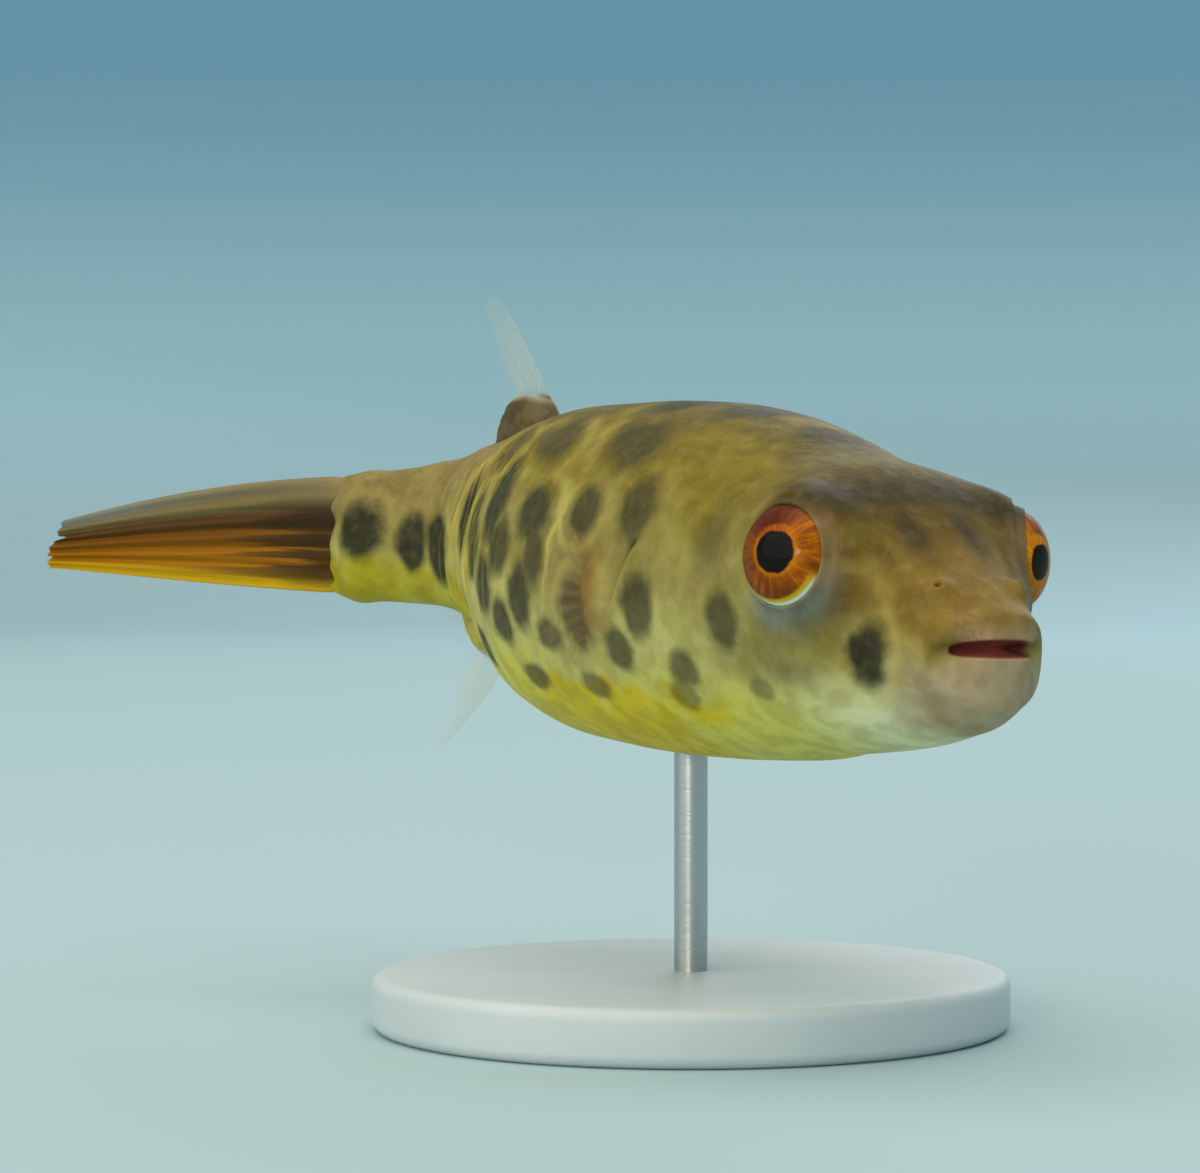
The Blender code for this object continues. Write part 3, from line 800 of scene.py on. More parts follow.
@dataclass(frozen=True)
class PufferSkin:
    """Smooth puffer skin: scaleless, thick and slightly see-through, over scattered pigment cells.

    It gives a soft satin with no sharp glints, small pebbles in the light, and markings with broken edges.
    """

    name: str = "puffer_skin"
    spot_dark: str = "#26261d"
    spot_worn: str = "#4a4730"
    net_pale: str = "#c9bd62"
    # painted highlight on the crests of the wrinkles and along the gill lips
    fold_highlight: str = "#d9c84e"
    mouth: str = "#8c463c"
    # painted shade: the dark colour laid inside the eye sockets and in the small pits
    socket: str = "#2a2618"
    speck: str = "#3a321c"
    mottle: str = "#c0b28e"
    bloom: str = "#b5a878"
    mottle_mm: float = 1.6
    speck_mm: float = 0.24
    edge_mm: float = 1.3
    worn_mm: float = 0.6
    satin_mm: float = 0.7
    lump_mm: float = 0.9
    pebble_mm: float = 0.22

    def build(self) -> Material:
        """Makes the material."""
        s = Shading(self.name)
        s.colour = s.field("tint", "Color")
        s.lay(s.rise(s.noise(self.mottle_mm, 4.0), 0.38, 0.62, 0.42), s.tinted(self.mottle))
        s.lay(s.rise(s.noise(self.lump_mm, 3.0), 0.45, 0.75, 0.10), s.tinted(self.bloom, "SCREEN"))
        specks = s.rise(s.noise(self.speck_mm), 0.56, 0.66)
        s.lay(s.times(specks, s.field("dusk")), self.speck)
        reach = s.plus(s.field("spot_reach"), s.swing(s.noise(self.edge_mm, 4.0), 0.75))
        inside = s.maths("DIVIDE", reach, s.field("spot_soft"))
        ring = s.times(s.rise(inside, -1.9, -1.0), s.rise(inside, -0.4, -1.0))
        s.lay(s.times(ring, s.field("net")), self.net_pale)
        worn = s.rise(s.noise(self.worn_mm, 3.0), 0.42, 0.68, 0.55)
        cover = s.times(s.rise(inside, -0.75, 0.65), s.field("spot_tone"))
        s.lay(cover, s.mixed(worn, self.spot_dark, self.spot_worn))
        # painted highlight where the skin folds
        s.lay(s.field("fold"), self.fold_highlight)
        s.lay(s.field("mouth"), self.mouth)
        # painted shade in the eye sockets, the nostrils and the gill openings
        s.lay(s.maths("MAXIMUM", s.field("socket"), s.field("pit_shade")), self.socket)
        coarse = s.bumps(s.noise(self.lump_mm, 3.0), 0.055)
        return s.finished(
            {
                "Roughness": s.plus(s.times(s.noise(self.satin_mm, 3.0), 0.22), 0.41),
                "Normal": s.bumps(s.noise(self.pebble_mm, 3.0), 0.035, Normal=coarse),
                "Specular IOR Level": 0.10,
                **under_skin(0.18, (1.0, 0.75, 0.35), 0.8),
            }
        )


# ---- The skin ----


class Spot(NamedTuple):
    """A dark marking: where its middle lies, its half-sizes, its lean and its look.

    The middle is a distance back and an angle in degrees above the side's middle. The half-sizes, along the
    fish and up its side, are in millimetres, and the lean in degrees tips its top towards the snout.
    """

    back: float
    angle: float
    along: float
    up: float
    lean: float
    tone: float
    soft: float


class SpotRow(NamedTuple):
    """A row of spots in even steps from its first to its last; each pair is a value at both ends."""

    count: int
    back: tuple[float, float]
    angle: tuple[float, float]
    along: tuple[float, float]
    up: tuple[float, float]
    tone: tuple[float, float]
    lean: float = 0.0
    soft: float = 0.5

    def spots(self) -> list[Spot]:
        """The row's spots, each value changing evenly along the row."""
        pairs = (self.back, self.angle, self.along, self.up, self.tone)
        steps = [np.linspace(first, last, self.count) for first, last in pairs]
        return [Spot(b, g, a, u, self.lean, t, self.soft) for b, g, a, u, t in zip(*steps)]


@dataclass(frozen=True)
class Markings:
    """The dark spots of the skin: rows along each flank, and rows across the back.

    The flank's rows run from the face to the tail, larger and darker as they go. Every spot wanders a
    little from its row and differs in size, so that neither side is regular and the two sides aren't alike.
    """

    cheek: Spot = Spot(4.45, -6.0, 1.0, 1.6, -14.0, 0.96, 0.55)
    flank: tuple[SpotRow, ...] = (
        SpotRow(3, (51.0, 59.0), (-4.0, 2.0), (1.3, 1.5), (2.2, 1.8), (0.95, 0.95), -14.0, 0.45),  # stem
        SpotRow(6, (22.0, 46.5), (22.0, 17.0), (1.25, 2.0), (1.5, 2.3), (0.74, 0.98), -8.0, 0.54),  # upper
        SpotRow(3, (30.5, 40.0), (6.0, 3.0), (1.2, 1.5), (1.6, 1.8), (0.75, 0.85), -8.0, 0.50),  # behind fin
        SpotRow(5, (14.5, 38.0), (-9.0, -8.0), (1.3, 1.4), (1.2, 1.8), (0.78, 0.90), -4.0, 0.52),  # middle
        SpotRow(4, (16.5, 34.5), (-23.0, -20.0), (1.2, 1.2), (0.9, 1.2), (0.74, 0.86), -8.0, 0.50),  # lower
        SpotRow(5, (12.0, 39.0), (-36.0, -33.0), (0.9, 1.5), (0.65, 1.2), (0.45, 0.88), -4.0, 0.48),  # belly
        SpotRow(2, (9.5, 14.5), (-22.0, 23.0), (1.2, 1.3), (0.9, 2.2), (0.24, 0.42), 0.0, 0.92),  # faint
        SpotRow(3, (27.0, 41.0), (51.0, 46.0), (2.9, 2.2), (1.4, 1.4), (0.70, 0.60), 18.0, 0.60),  # shoulder
        SpotRow(2, (6.2, 7.6), (9.0, 3.0), (1.0, 1.1), (1.1, 1.0), (0.40, 0.34), 0.0, 0.95),  # under the eye
    )
    across: tuple[SpotRow, ...] = (
        SpotRow(3, (17.5, 28.5), (92.0, 84.0), (1.5, 2.1), (1.9, 2.8), (0.62, 0.76), 0.0, 0.56),  # saddles
        SpotRow(4, (9.2, 9.2), (56.0, 124.0), (1.1, 1.1), (2.0, 2.0), (0.60, 0.60), 0.0, 0.95),  # brow band
        SpotRow(2, (6.8, 6.8), (76.0, 104.0), (1.6, 1.6), (0.7, 0.7), (0.62, 0.62), 0.0, 0.95),  # streaks
    )
    seed: int = 5
    wander: tuple[float, float] = (0.9, 3.5)
    vary: float = 0.22
    last_back: float = 59.6
    far: float = -4.0
    depth_mm: float = 2.2
    step_up: float = 2.0
    step_back: float = 0.3

    def all_spots(self) -> list[tuple[Side, Spot]]:
        """Every spot with its side; those across the back count as the right side's, past a quarter turn."""
        dice = np.random.default_rng(self.seed)
        spots = [(Side.RIGHT, spot) for row in self.across for spot in row.spots()]
        for side in (Side.RIGHT, Side.LEFT):
            spots.append((side, self.cheek))
            for spot in (spot for row in self.flank for spot in row.spots()):
                slide, climb = dice.uniform(-1.0, 1.0, 2) * self.wander
                wider, taller = 1.0 + dice.uniform(-self.vary, self.vary, 2)
                moved = spot._replace(back=min(spot.back + slide, self.last_back), angle=spot.angle + climb)
                spots.append((side, moved._replace(along=spot.along * wider, up=spot.up * taller)))
        return spots

    def fields(self, form: BodyForm, points: Array) -> dict[str, Array]:
        """How far inside a spot each point lies, and that spot's softness and tone.

        For each spot the point's offset is laid on the spot's own plane, turned by its lean and divided by
        its half-sizes; 1 less its length is the reach: 1 in the middle, 0 at the edge. The greatest reach
        wins.
        """
        reach = np.full(points.shape[:2], self.far)
        soft, tone = np.ones_like(reach), np.zeros_like(reach)
        for side, spot in self.all_spots():
            centre = form.place_in_body(spot.back, spot.angle, side)
            above = form.place_in_body(spot.back, spot.angle + self.step_up, side)
            behind = form.place_in_body(spot.back + self.step_back, spot.angle, side)
            up, along = unit(above - centre), unit(behind - centre)
            off = points - centre
            depth = np.abs(off @ unit(np.cross(along, up)))
            lean = math.radians(spot.lean)
            a, b = off @ along, off @ up
            a, b = a * math.cos(lean) + b * math.sin(lean), b * math.cos(lean) - a * math.sin(lean)
            here = 1.0 - np.hypot(a / spot.along, b / spot.up)
            here = np.where(depth > self.depth_mm, self.far, here)
            won = here / spot.soft > reach / soft
            reach, soft, tone = (np.where(won, new, old)
                                 for new, old in ((here, reach), (spot.soft, soft), (spot.tone, tone)))
        return {"spot_reach": reach, "spot_soft": soft, "spot_tone": tone}


@dataclass(frozen=True)
class Tints:
    """The skin's ground colours, region by region, before spots."""

    ridge: str = "#5c5020"
    back: str = "#7c6e20"
    flank: str = "#928848"
    low_flank: str = "#b4b068"
    belly: str = "#cdcb5e"
    brow: str = "#4e4010"
    face: str = "#775f1e"
    cheek: str = "#948744"
    snout: str = "#836a2c"
    lip: str = "#b49478"
    chin: str = "#a49474"
    throat: str = "#d4d8ac"
    stem: str = "#8a7a46"
    stem_low: str = "#a89a00"
    yellow: str = "#cdb800"
    orbit: str = "#727c72"
    orbit_pink: str = "#87694c"
    gill_pad: str = "#a48c50"
    fin_base: str = "#80581e"
    # painted shadow below the eyes
    under_eye_shade: str = "#5c4c24"

    def paint(self, form: BodyForm, seats: tuple[EyeSeat, ...], points: Array) -> Array:
        """Lays the colours over each other by smooth masks, as red, green, blue and 1 at each point.

        The level is the height over the section's middle divided by its reach: 1 on the back, -1 on the
        belly.
        """
        back, left, height = points[..., 0], points[..., 1], points[..., 2]
        ring = form.section_at(form.place_at_back(back))
        off = height - ring.middle
        level = off / np.where(off > 0, ring.rise, ring.drop)
        level = level + 0.07 * soft_noise(points, 6.0, 1) + 0.03 * soft_noise(points, 2.0, 2)
        patchy = soft_noise(points, 3.2, 3)
        tint = np.ones(points.shape[:2] + (4,)) * np.array(linear(self.belly))

        def lay(code: str, mask: Array) -> None:
            """Mixes one colour in by a mask."""
            share = np.clip(mask, 0.0, 1.0)[..., None]
            tint[...] = tint * (1.0 - share) + np.array(linear(code)) * share

        trunk = smoothstep(back, 10.0, 16.0)
        stem = smoothstep(back, 40.0, 50.0)
        head = 1.0 - smoothstep(back, 7.0, 14.0)
        lay(self.low_flank, smoothstep(level, -0.75, -0.35))
        lay(self.flank, smoothstep(level, -0.30, 0.10))
        lay(self.back, smoothstep(level, 0.25, 0.65))
        lay(self.ridge, 0.8 * smoothstep(level, 0.80, 1.0) * trunk)
        lay(self.cheek, head * smoothstep(level, -0.45, 0.0))
        lay(self.face, head * smoothstep(level, 0.05, 0.45))
        lay(self.brow, bell(back, 10.0, 3.5) * smoothstep(level, 0.55, 0.85))
        lay(self.throat, (1.0 - smoothstep(back, 5.0, 13.0)) * (1.0 - smoothstep(level, -0.65, -0.25)))
        lay(self.chin, (1.0 - smoothstep(back, 2.5, 6.0)) * (1.0 - smoothstep(level, -0.35, 0.15)))
        lay(self.snout, (1.0 - smoothstep(back, 2.0, 5.5)) * smoothstep(level, 0.0, 0.35))
        lips = 1.0 - smoothstep(back - 0.5 * np.abs(left) / 3.0, 0.6, 1.7)
        lay(self.lip, 0.75 * lips * bell(height, 1.2, 1.0))
        lay(self.stem, stem * smoothstep(level, 0.1, 0.5))
        lay(self.stem_low, stem * (1.0 - smoothstep(level, -0.45, -0.12)) * (0.85 + 0.15 * patchy))
        low = smoothstep(level, -0.52, -0.64) * (1.0 - 0.55 * smoothstep(level, -0.85, -1.0))
        patches = 3.2 * bell(back, 27.0, 5.0) * low + 1.3 * bell(back, 17.2, 1.9) * bell(level, -0.72, 0.09)
        lay(self.yellow, patches * (0.9 + 0.35 * patchy))
        under = (1.0 - smoothstep(level, -0.85, -0.55)) * smoothstep(back, 14.0, 22.0) * (1.0 - stem)
        lay(self.yellow, (0.30 + 0.30 * bell(back, 32.0, 7.0)) * under)
        lay(self.gill_pad, 0.55 * bell(back, 26.0, 2.6) * bell(height, 1.4, 2.6))
        lay(self.fin_base, 0.95 * np.exp(-(((back - 24.9) / 1.8) ** 2) - ((height - 0.8) / 2.3) ** 2))
        # painted shadow below each eye's mound
        lay(self.under_eye_shade, 0.55 * bell(back, 11.0, 3.4) * bell(height, -0.6, 1.6))
        for seat in seats:
            chart = seat.chart(points)
            angle = np.linalg.norm(chart, axis=-1)
            ahead, above = (chart / np.maximum(angle, 1e-9)[..., None]).transpose(2, 0, 1)
            beyond = (angle - seat.lid_angle) * seat.mound_radius
            near = smoothstep(left * seat.side.value, 0.5, 2.5) * (1.0 - smoothstep(beyond, 0.6, 1.7))
            lay(self.orbit, 0.90 * near * smoothstep(0.42 * ahead - 0.85 * above, 0.10, 0.80))
            lay(self.orbit_pink, 0.7 * near * smoothstep(0.95 * ahead + 0.25 * above, 0.45, 0.90))
        return tint


@dataclass(frozen=True)
class SmallForms:
    """The skin's small relief, in millimetres: nostrils, gill slits, brows and folds of the tail's bend."""

    nostril: tuple[float, float, float] = (3.5, 2.2, 3.45)
    nostril_size: float = 0.72
    nostril_height: float = 0.60
    nostril_pit: float = 0.14
    nostril_depth: float = 0.55
    nostril_flat: float = 1.25
    nostril_shade: float = 0.6
    brow: tuple[float, float, float] = (10.0, 5.4, 7.9)
    brow_size: tuple[float, float, float] = (2.4, 1.6, 1.6)
    brow_height: float = 0.30
    pad: tuple[float, float, float, float] = (24.2, 0.9, 1.7, 2.3)
    pad_height: float = 0.45
    flank_from: float = 2.0
    gill_lip: tuple[float, float, float] = (0.16, -0.45, 0.60)
    gill_slit: tuple[float, float, float] = (0.16, 0.12, 0.26)
    gill_lip_highlight: tuple[float, float, float] = (0.06, -0.28, 0.25)
    gill_slit_shade: tuple[float, float, float] = (0.25, 0.12, 0.15)
    gill_fade: tuple[float, float, float] = (1.2, -0.4, 0.3)
    vent_size: tuple[float, float] = (0.36, 0.44)
    vent_drop: float = 0.2
    vent_shade: float = 0.85
    gill_top: float = 4.1
    gill_bottom: float = 0.2
    gill_back: float = 20.9
    gill_lean: float = 0.46
    wrinkle_back: float = 44.5
    wrinkle_reach: float = 6.0
    wrinkle_size: float = 1.00
    wrinkle_height: float = 0.15
    collar_height: float = 0.17
    collars: tuple[tuple[float, float, float], ...] = ((54.2, 0.6, 1.1), (50.6, 0.5, 1.0))

    def lift(self, form: BodyForm, points: Array) -> tuple[Array, dict[str, Array]]:
        """How far each point moves along its normal, and the fields of painted shade in its pits and painted
        highlight on its folds' crests and gill lips.
        """
        back, left, height = points[..., 0], points[..., 1], points[..., 2]
        rise, pit_shade, fold = (np.zeros(points.shape[:2]) for _ in range(3))
        for side in Side:
            mirror = (1.0, side.value, 1.0)
            beside = left * side.value > self.flank_from
            away = (points - np.array(self.nostril) * mirror) * (1.0, 1.0, self.nostril_flat)
            away = np.linalg.norm(away, axis=-1)
            rise += self.nostril_height * bell(away, 0.0, self.nostril_size)
            rise -= self.nostril_depth * bell(away, 0.0, self.nostril_pit)
            # painted shade in the nostril's pit
            pit_shade += self.nostril_shade * bell(away, 0.0, self.nostril_pit * 1.15)
            slit = back - (self.gill_back + self.gill_lean * (self.gill_top - height))
            low, below, above = self.gill_fade
            held = smoothstep(height, self.gill_bottom, self.gill_bottom + low)
            held = held * (1.0 - smoothstep(height, self.gill_top + below, self.gill_top + above)) * beside
            lip, groove, pale, dark = self.gill_lip, self.gill_slit, self.gill_lip_highlight, self.gill_slit_shade
            rise += held * (lip[0] * bell(slit, *lip[1:]) - groove[0] * bell(slit, *groove[1:]))
            # painted highlight along the gill slit's lip
            fold += pale[0] * held * bell(slit, *pale[1:])
            drop = height - self.gill_top + self.vent_drop
            vent = np.hypot(slit / self.vent_size[0], drop / self.vent_size[1])
            # painted shade in the gill slit's groove and in its upper opening
            pit_shade += held * dark[0] * bell(slit, *dark[1:]) + beside * self.vent_shade * bell(vent, 0.0, 1.0)
            pad = 1.0 - np.hypot((back - self.pad[0]) / self.pad[2], (height - self.pad[1]) / self.pad[3])
            rise += self.pad_height * np.clip(pad, 0.0, 1.0) ** 0.5 * smoothstep(pad, 0.0, 0.3) * beside
            brow = np.linalg.norm((points - np.array(self.brow) * mirror) / self.brow_size, axis=-1)
            rise += self.brow_height * bell(brow, 0.0, 1.0)
        ring = form.section_at(form.place_at_back(back))
        level = (height - ring.middle) / np.where(height > ring.middle, ring.rise, ring.drop)
        inner = smoothstep(-left / ring.side, 0.25, 0.70) * (1.0 - smoothstep(np.abs(level), 0.65, 0.95))
        place = inner * bell(back, self.wrinkle_back, self.wrinkle_reach)
        phase = back / self.wrinkle_size + 0.9 * level**2 + 0.25 * soft_noise(points, 5.0, 7)
        wave = np.sin(2 * math.pi * phase)
        upper = smoothstep(level, -0.2, 0.5)
        collar = bell(back, 59.0, 0.9)
        for middle, share, width in self.collars:
            collar = collar + share * upper * bell(back, middle, width)
        rise += self.collar_height * collar
        strength = place * (0.65 + 0.35 * soft_noise(points, 4.0, 8))
        rise += self.wrinkle_height * strength * wave
        # painted highlight on the wrinkles' crests
        fold += 0.5 * strength * smoothstep(wave, 0.35, 1.0)
        return rise, {"pit_shade": np.clip(pit_shade, 0.0, 1.0), "fold": np.clip(fold, 0.0, 1.0)}


@dataclass
class Skin:
    """The one skin over head, jaw, trunk and tail stem: rings from the mouth's pocket to the tail fin."""

    form: BodyForm
    seats: tuple[EyeSeat, ...]
    columns: int = 240
    eye_band: float = 34.0
    eye_density: float = 1.55
    eye_turn: float = 33.0
    steps: tuple[tuple[float, float], ...] = (
        (14.6, 0.12),
        (19.0, 0.20),
        (24.0, 0.16),
        (42.5, 0.33),
        (52.5, 0.12),
        (61.2, 0.25),
    )
    pocket_rings: int = 19
    front_rings: int = 23
    front_reach: float = 2.0
    turn_readings: int = 7201
    band_edge: tuple[float, float] = (-8.0, 10.0)
    settling: int = 140
    free_from: tuple[float, float] = (3.2, 4.6)
    free_to: tuple[float, float] = (13.5, 16.0)
    rim_hold: tuple[float, float] = (-0.20, 0.06)
    scallop_mm: float = 0.12
    dusk: float = 0.22
    net_share: tuple[float, float] = (0.24, 0.22)
    net_from: tuple[float, float] = (22.0, 30.0)
    net_to: tuple[float, float] = (46.0, 54.0)
    cheek_net: float = 0.20
    markings: Markings = Markings()
    tints: Tints = Tints()
    small_forms: SmallForms = SmallForms()

    def row_places(self) -> Array:
        """The rings' places along the sections: close at the face, the gill and the tail's bend."""
        pocket = np.linspace(0.0, self.form.lip_row, self.pocket_rings)[:-1]
        backs = []
        start = float(self.form.sections[self.form.lip_row].back) + 0.001
        for end, step in self.steps:
            count = max(int(round((end - start) / step)), 1)
            backs.append(np.linspace(start, end, count, endpoint=False))
            start = end
        backs.append(np.array([start]))
        places = self.form.place_at_back(np.concatenate(backs))
        front = self.form.lip_row + np.linspace(0.0, self.front_reach, self.front_rings)
        return np.concatenate([pocket, front, places[places > front[-1] + 0.01]])

    def column_turns(self) -> Array:
        """The columns' angles, closer in a band through each eye: equal steps of the summed density.

        They start at the belly, so that both eyes' patches lie well inside the grid.
        """
        turn = np.linspace(-math.pi / 2, 1.5 * math.pi, self.turn_readings)
        density = np.ones_like(turn)
        for middle in (self.eye_turn, 180.0 - self.eye_turn):
            off = np.abs(np.degrees(turn) - middle)
            off = np.minimum(off, 360.0 - off)
            inner, outer = (self.eye_band + edge for edge in self.band_edge)
            density += self.eye_density * (1.0 - smoothstep(off, inner, outer))
        total = np.concatenate([[0.0], np.cumsum((density[1:] + density[:-1]) / 2)])
        wanted = np.linspace(0.0, total[-1], self.columns, endpoint=False)
        return np.interp(wanted, total, turn)

    def base(self) -> tuple[Array, list[Array], Array, Array]:
        """The skin's points before its small forms, each eye's patch shares, and the places and turns."""
        place, turn = np.meshgrid(self.row_places(), self.column_turns(), indexing="ij")
        shares = []
        for seat in self.seats:
            place, turn, share = seat.bend_grid(self.form, place, turn)
            shares.append(share)
        points = self.form.surface(place, turn)
        for seat in self.seats:
            points = seat.raise_mound(points)
        return points, shares, place, turn

    def settled(self, points: Array, shares: list[Array]) -> Array:
        """Rounds the crease where an eye's mound meets the head.

        Each point moves half-way to the mean of its four neighbours, over and over. Points near the lids,
        where the form is meant to be crisp, and points behind the head stay where they are.
        """
        free = 1.0 - smoothstep(points[..., 0], *self.free_to)
        free *= smoothstep(points[..., 0], *self.free_from)
        for seat, share in zip(self.seats, shares):
            rim = seat.rim_cell / seat.cells
            free *= smoothstep(share, rim + self.rim_hold[0], rim + self.rim_hold[1])
        free = 0.5 * free[1:-1, :, None]
        for _ in range(self.settling):
            around = (np.roll(points, 1, axis=1) + np.roll(points, -1, axis=1))[1:-1]
            mean = (points[2:] + points[:-2] + around) / 4
            points = points.copy()
            points[1:-1] += free * (mean - points[1:-1])
        return points

    @staticmethod
    def normals(points: Array) -> Array:
        """Outward unit normals: the cross product of the differences along the rows and round the rings."""
        along = np.gradient(points, axis=0)
        around = np.roll(points, -1, axis=1) - np.roll(points, 1, axis=1)
        return unit(np.cross(around, along))

    def build(self) -> Piece:
        """Makes the skin with its folds, openings and markings."""
        plain, shares, place, turn = self.base()
        plain = self.settled(plain, shares)
        rise, fields = self.small_forms.lift(self.form, plain)
        last = len(self.form.sections) - 1.0
        scallop = np.cos(7 * turn + 1.0) + 0.8 * np.cos(11 * turn + 2.6)
        scallop = self.scallop_mm * smoothstep(place, last - 1.6, last) * scallop
        points = plain + scallop[..., None] * (1.0, 0.0, 0.0)
        for seat, share in zip(self.seats, shares):
            rise *= share > seat.rim_cell / seat.cells
        points = points + rise[..., None] * self.normals(points)
        # painted shade on the skin that rolls down behind each eyeball
        fields["socket"] = np.zeros(points.shape[:2])
        for seat, share in zip(self.seats, shares):
            lid = seat.lid_cell / seat.cells
            fields["socket"] += 1.0 - smoothstep(share, lid - 0.10, lid - 0.01)
            points = seat.open_lid(points, share)
        fields.update(self.markings.fields(self.form, plain))
        fields["tint"] = self.tints.paint(self.form, self.seats, plain)
        fields["mouth"] = 1.0 - smoothstep(place, self.form.lip_row - 0.95, self.form.lip_row - 0.10)
        level, back, left = np.sin(turn), plain[..., 0], plain[..., 1]
        fields["dusk"] = self.dusk * smoothstep(level, 0.2, 0.8)
        even, uneven = self.net_share
        net = (even + uneven * soft_noise(plain, 5.0, 9)) * smoothstep(back, *self.net_from)
        net = net * (1.0 - 0.7 * smoothstep(back, *self.net_to))
        net = net * (smoothstep(level, -0.75, -0.4) * (1.0 - smoothstep(level, 0.75, 0.95)))
        cheek = self.cheek_net * bell(back, 4.7, 2.4) * smoothstep(np.abs(left), 2.0, 4.0)
        fields["net"] = np.maximum(net, cheek)
        return Surface("skin", PufferSkin().build()).loft(self.form.to_frame(points), fields)


# ---- The eyes ----


@dataclass(frozen=True)
class EyeGloss:
    """A living eye: a wet clear cornea over a metallic-looking iris of orange fibres round a black pupil.

    It gives a deep black middle, a glowing ring that darkens to red-brown above, and one small clean glint.
    """

    name: str
    pupil: str = "#0b0b09"
    pupil_edge: str = "#c87800"
    orange: str = "#b25c00"
    ember: str = "#7c3e00"
    glow: str = "#cc7400"
    shade: str = "#5c2c00"
    maroon: str = "#4a1000"
    maroon_from: float = 0.55
    rim: str = "#cfae1c"
    white: str = "#d5e6d4"
    blue_white: str = "#93b5b8"
    pupil_mm: float = 1.02
    lid_shade: str = "#3a2414"
    fibres: float = 7.0

    def build(self) -> Material:
        """Makes the material."""
        s = Shading(self.name)
        radius, high, ahead = s.field("iris_radius"), s.field("iris_high"), s.field("iris_ahead")
        outside = s.field("iris_outside")
        fibre = s.drawn_noise(4.0, X=(ahead, self.fibres), Y=(high, self.fibres), Z=(radius, 0.9))
        blotch = s.noise(0.8, 3.0)
        s.colour = s.mixed(s.rise(fibre, 0.30, 0.72), self.ember, self.orange)
        s.lay(s.times(s.rise(ahead, -0.1, 0.9), s.rise(blotch, 0.35, 0.65, 0.8)), self.glow)
        s.lay(s.times(s.rise(outside, -0.9, -0.2, 0.6), s.rise(fibre, 0.7, 0.4)), self.shade)
        s.lay(s.rise(ahead, -0.35, -0.95, 0.6), self.shade)
        above = s.plus(s.times(high, s.rise(radius, 0.9, 1.5)), s.times(ahead, -0.35))
        s.lay(s.rise(above, self.maroon_from, self.maroon_from + 0.5, 0.90), self.maroon)
        s.lay(s.times(s.rise(high, -0.45, -0.95, 0.6), s.rise(blotch, 0.35, 0.6)), self.shade)
        ring = s.times(s.rise(radius, self.pupil_mm + 0.30, self.pupil_mm + 0.04), 0.55)
        s.lay(s.times(ring, s.rise(high, 0.85, 0.2)), self.pupil_edge)
        edge = s.plus(radius, s.swing(s.noise(0.7), 0.30))
        s.lay(s.rise(edge, self.pupil_mm + 0.07, self.pupil_mm - 0.05), self.pupil)
        low_side = s.rise(high, -0.25, -0.62)
        s.lay(s.times(s.rise(outside, -0.16, 0.0, 0.9), low_side), self.rim)
        white = s.mixed(s.rise(outside, 0.15, 0.5), self.white, self.blue_white)
        s.lay(s.times(s.rise(outside, 0.02, 0.12), low_side), white)
        s.lay(s.rise(s.field("deep"), 0.0, 0.35, 0.8), self.lid_shade)
        return s.finished(
            {
                "Roughness": 0.5,
                "Specular IOR Level": 0.06,
                "Normal": s.bumps(fibre, 0.02),
                "Coat Weight": 0.18,
                "Coat Roughness": 0.05,
                "Coat IOR": 1.38,
            }
        )


@dataclass
class Eyeball:
    """One eye: half a ball in front and a shallower one behind, on the axis of its seat."""

    form: BodyForm
    seat: EyeSeat
    gaze_ahead: float
    gaze_up: float
    gloss: EyeGloss
    radius: float = 2.50
    bulge: float = 1.75
    depth: float = 1.55
    rings: int = 72
    sides: int = 128
    pupil_oval: float = 0.94
    iris_mm: float = 2.36
    iris_off: tuple[float, float] = (-0.03, 0.13)
    pole: float = 0.015

    def build(self) -> Piece:
        """Makes the eye, with each point's place in the iris.

        The outline is radius times sin(a) across and bulge (or depth, behind) times cos(a) ahead. Divided
        by those sizes it is a unit ball, on which the iris is turned by the gaze.
        """
        angle = np.linspace(self.pole, math.pi - self.pole, self.rings)[:, None]
        turn = np.linspace(0.0, 2 * math.pi, self.sides, endpoint=False)
        ahead = np.broadcast_to(np.cos(angle), (self.rings, self.sides))
        across = np.sin(angle) * np.cos(turn)
        upward = np.sin(angle) * np.sin(turn)
        snoutwards, upwards = self.seat.basis
        length = np.where(ahead > 0, self.bulge, self.depth)
        beside = across[..., None] * snoutwards + upward[..., None] * upwards
        points = self.seat.centre + self.radius * beside + (length * ahead)[..., None] * self.seat.axis
        yaw, pitch = math.radians(self.gaze_ahead), math.radians(self.gaze_up)
        iris_ahead = across * math.cos(yaw) - ahead * math.sin(yaw)
        out = across * math.sin(yaw) + ahead * math.cos(yaw)
        iris_up = upward * math.cos(pitch) - out * math.sin(pitch)
        facing = out * math.cos(pitch) + upward * math.sin(pitch)
        flat = np.hypot(iris_ahead * self.pupil_oval, iris_up)
        off = np.degrees(np.arctan2(flat, facing))
        shown = np.sin(np.radians(np.minimum(off, 90.0)))
        off_ahead, off_up = across - self.iris_off[0] / self.radius, upward - self.iris_off[1] / self.radius
        outside = self.radius * np.hypot(off_ahead, off_up) - self.iris_mm
        fields = {
            "iris_outside": np.where(ahead > 0, outside, 1.0),
            "iris_radius": self.radius * np.where(facing > 0, shown, 1.0 + off / 360.0),
            "iris_high": iris_up / np.maximum(flat, 1e-6),
            "iris_ahead": iris_ahead / np.maximum(flat, 1e-6),
            "deep": np.clip(-ahead, 0.0, 1.0),
        }
        surface = Surface(f"eyeball_{self.seat.side.word}", self.gloss.build())
        return surface.loft(self.form.to_frame(points), fields)


# ---- The fins ----


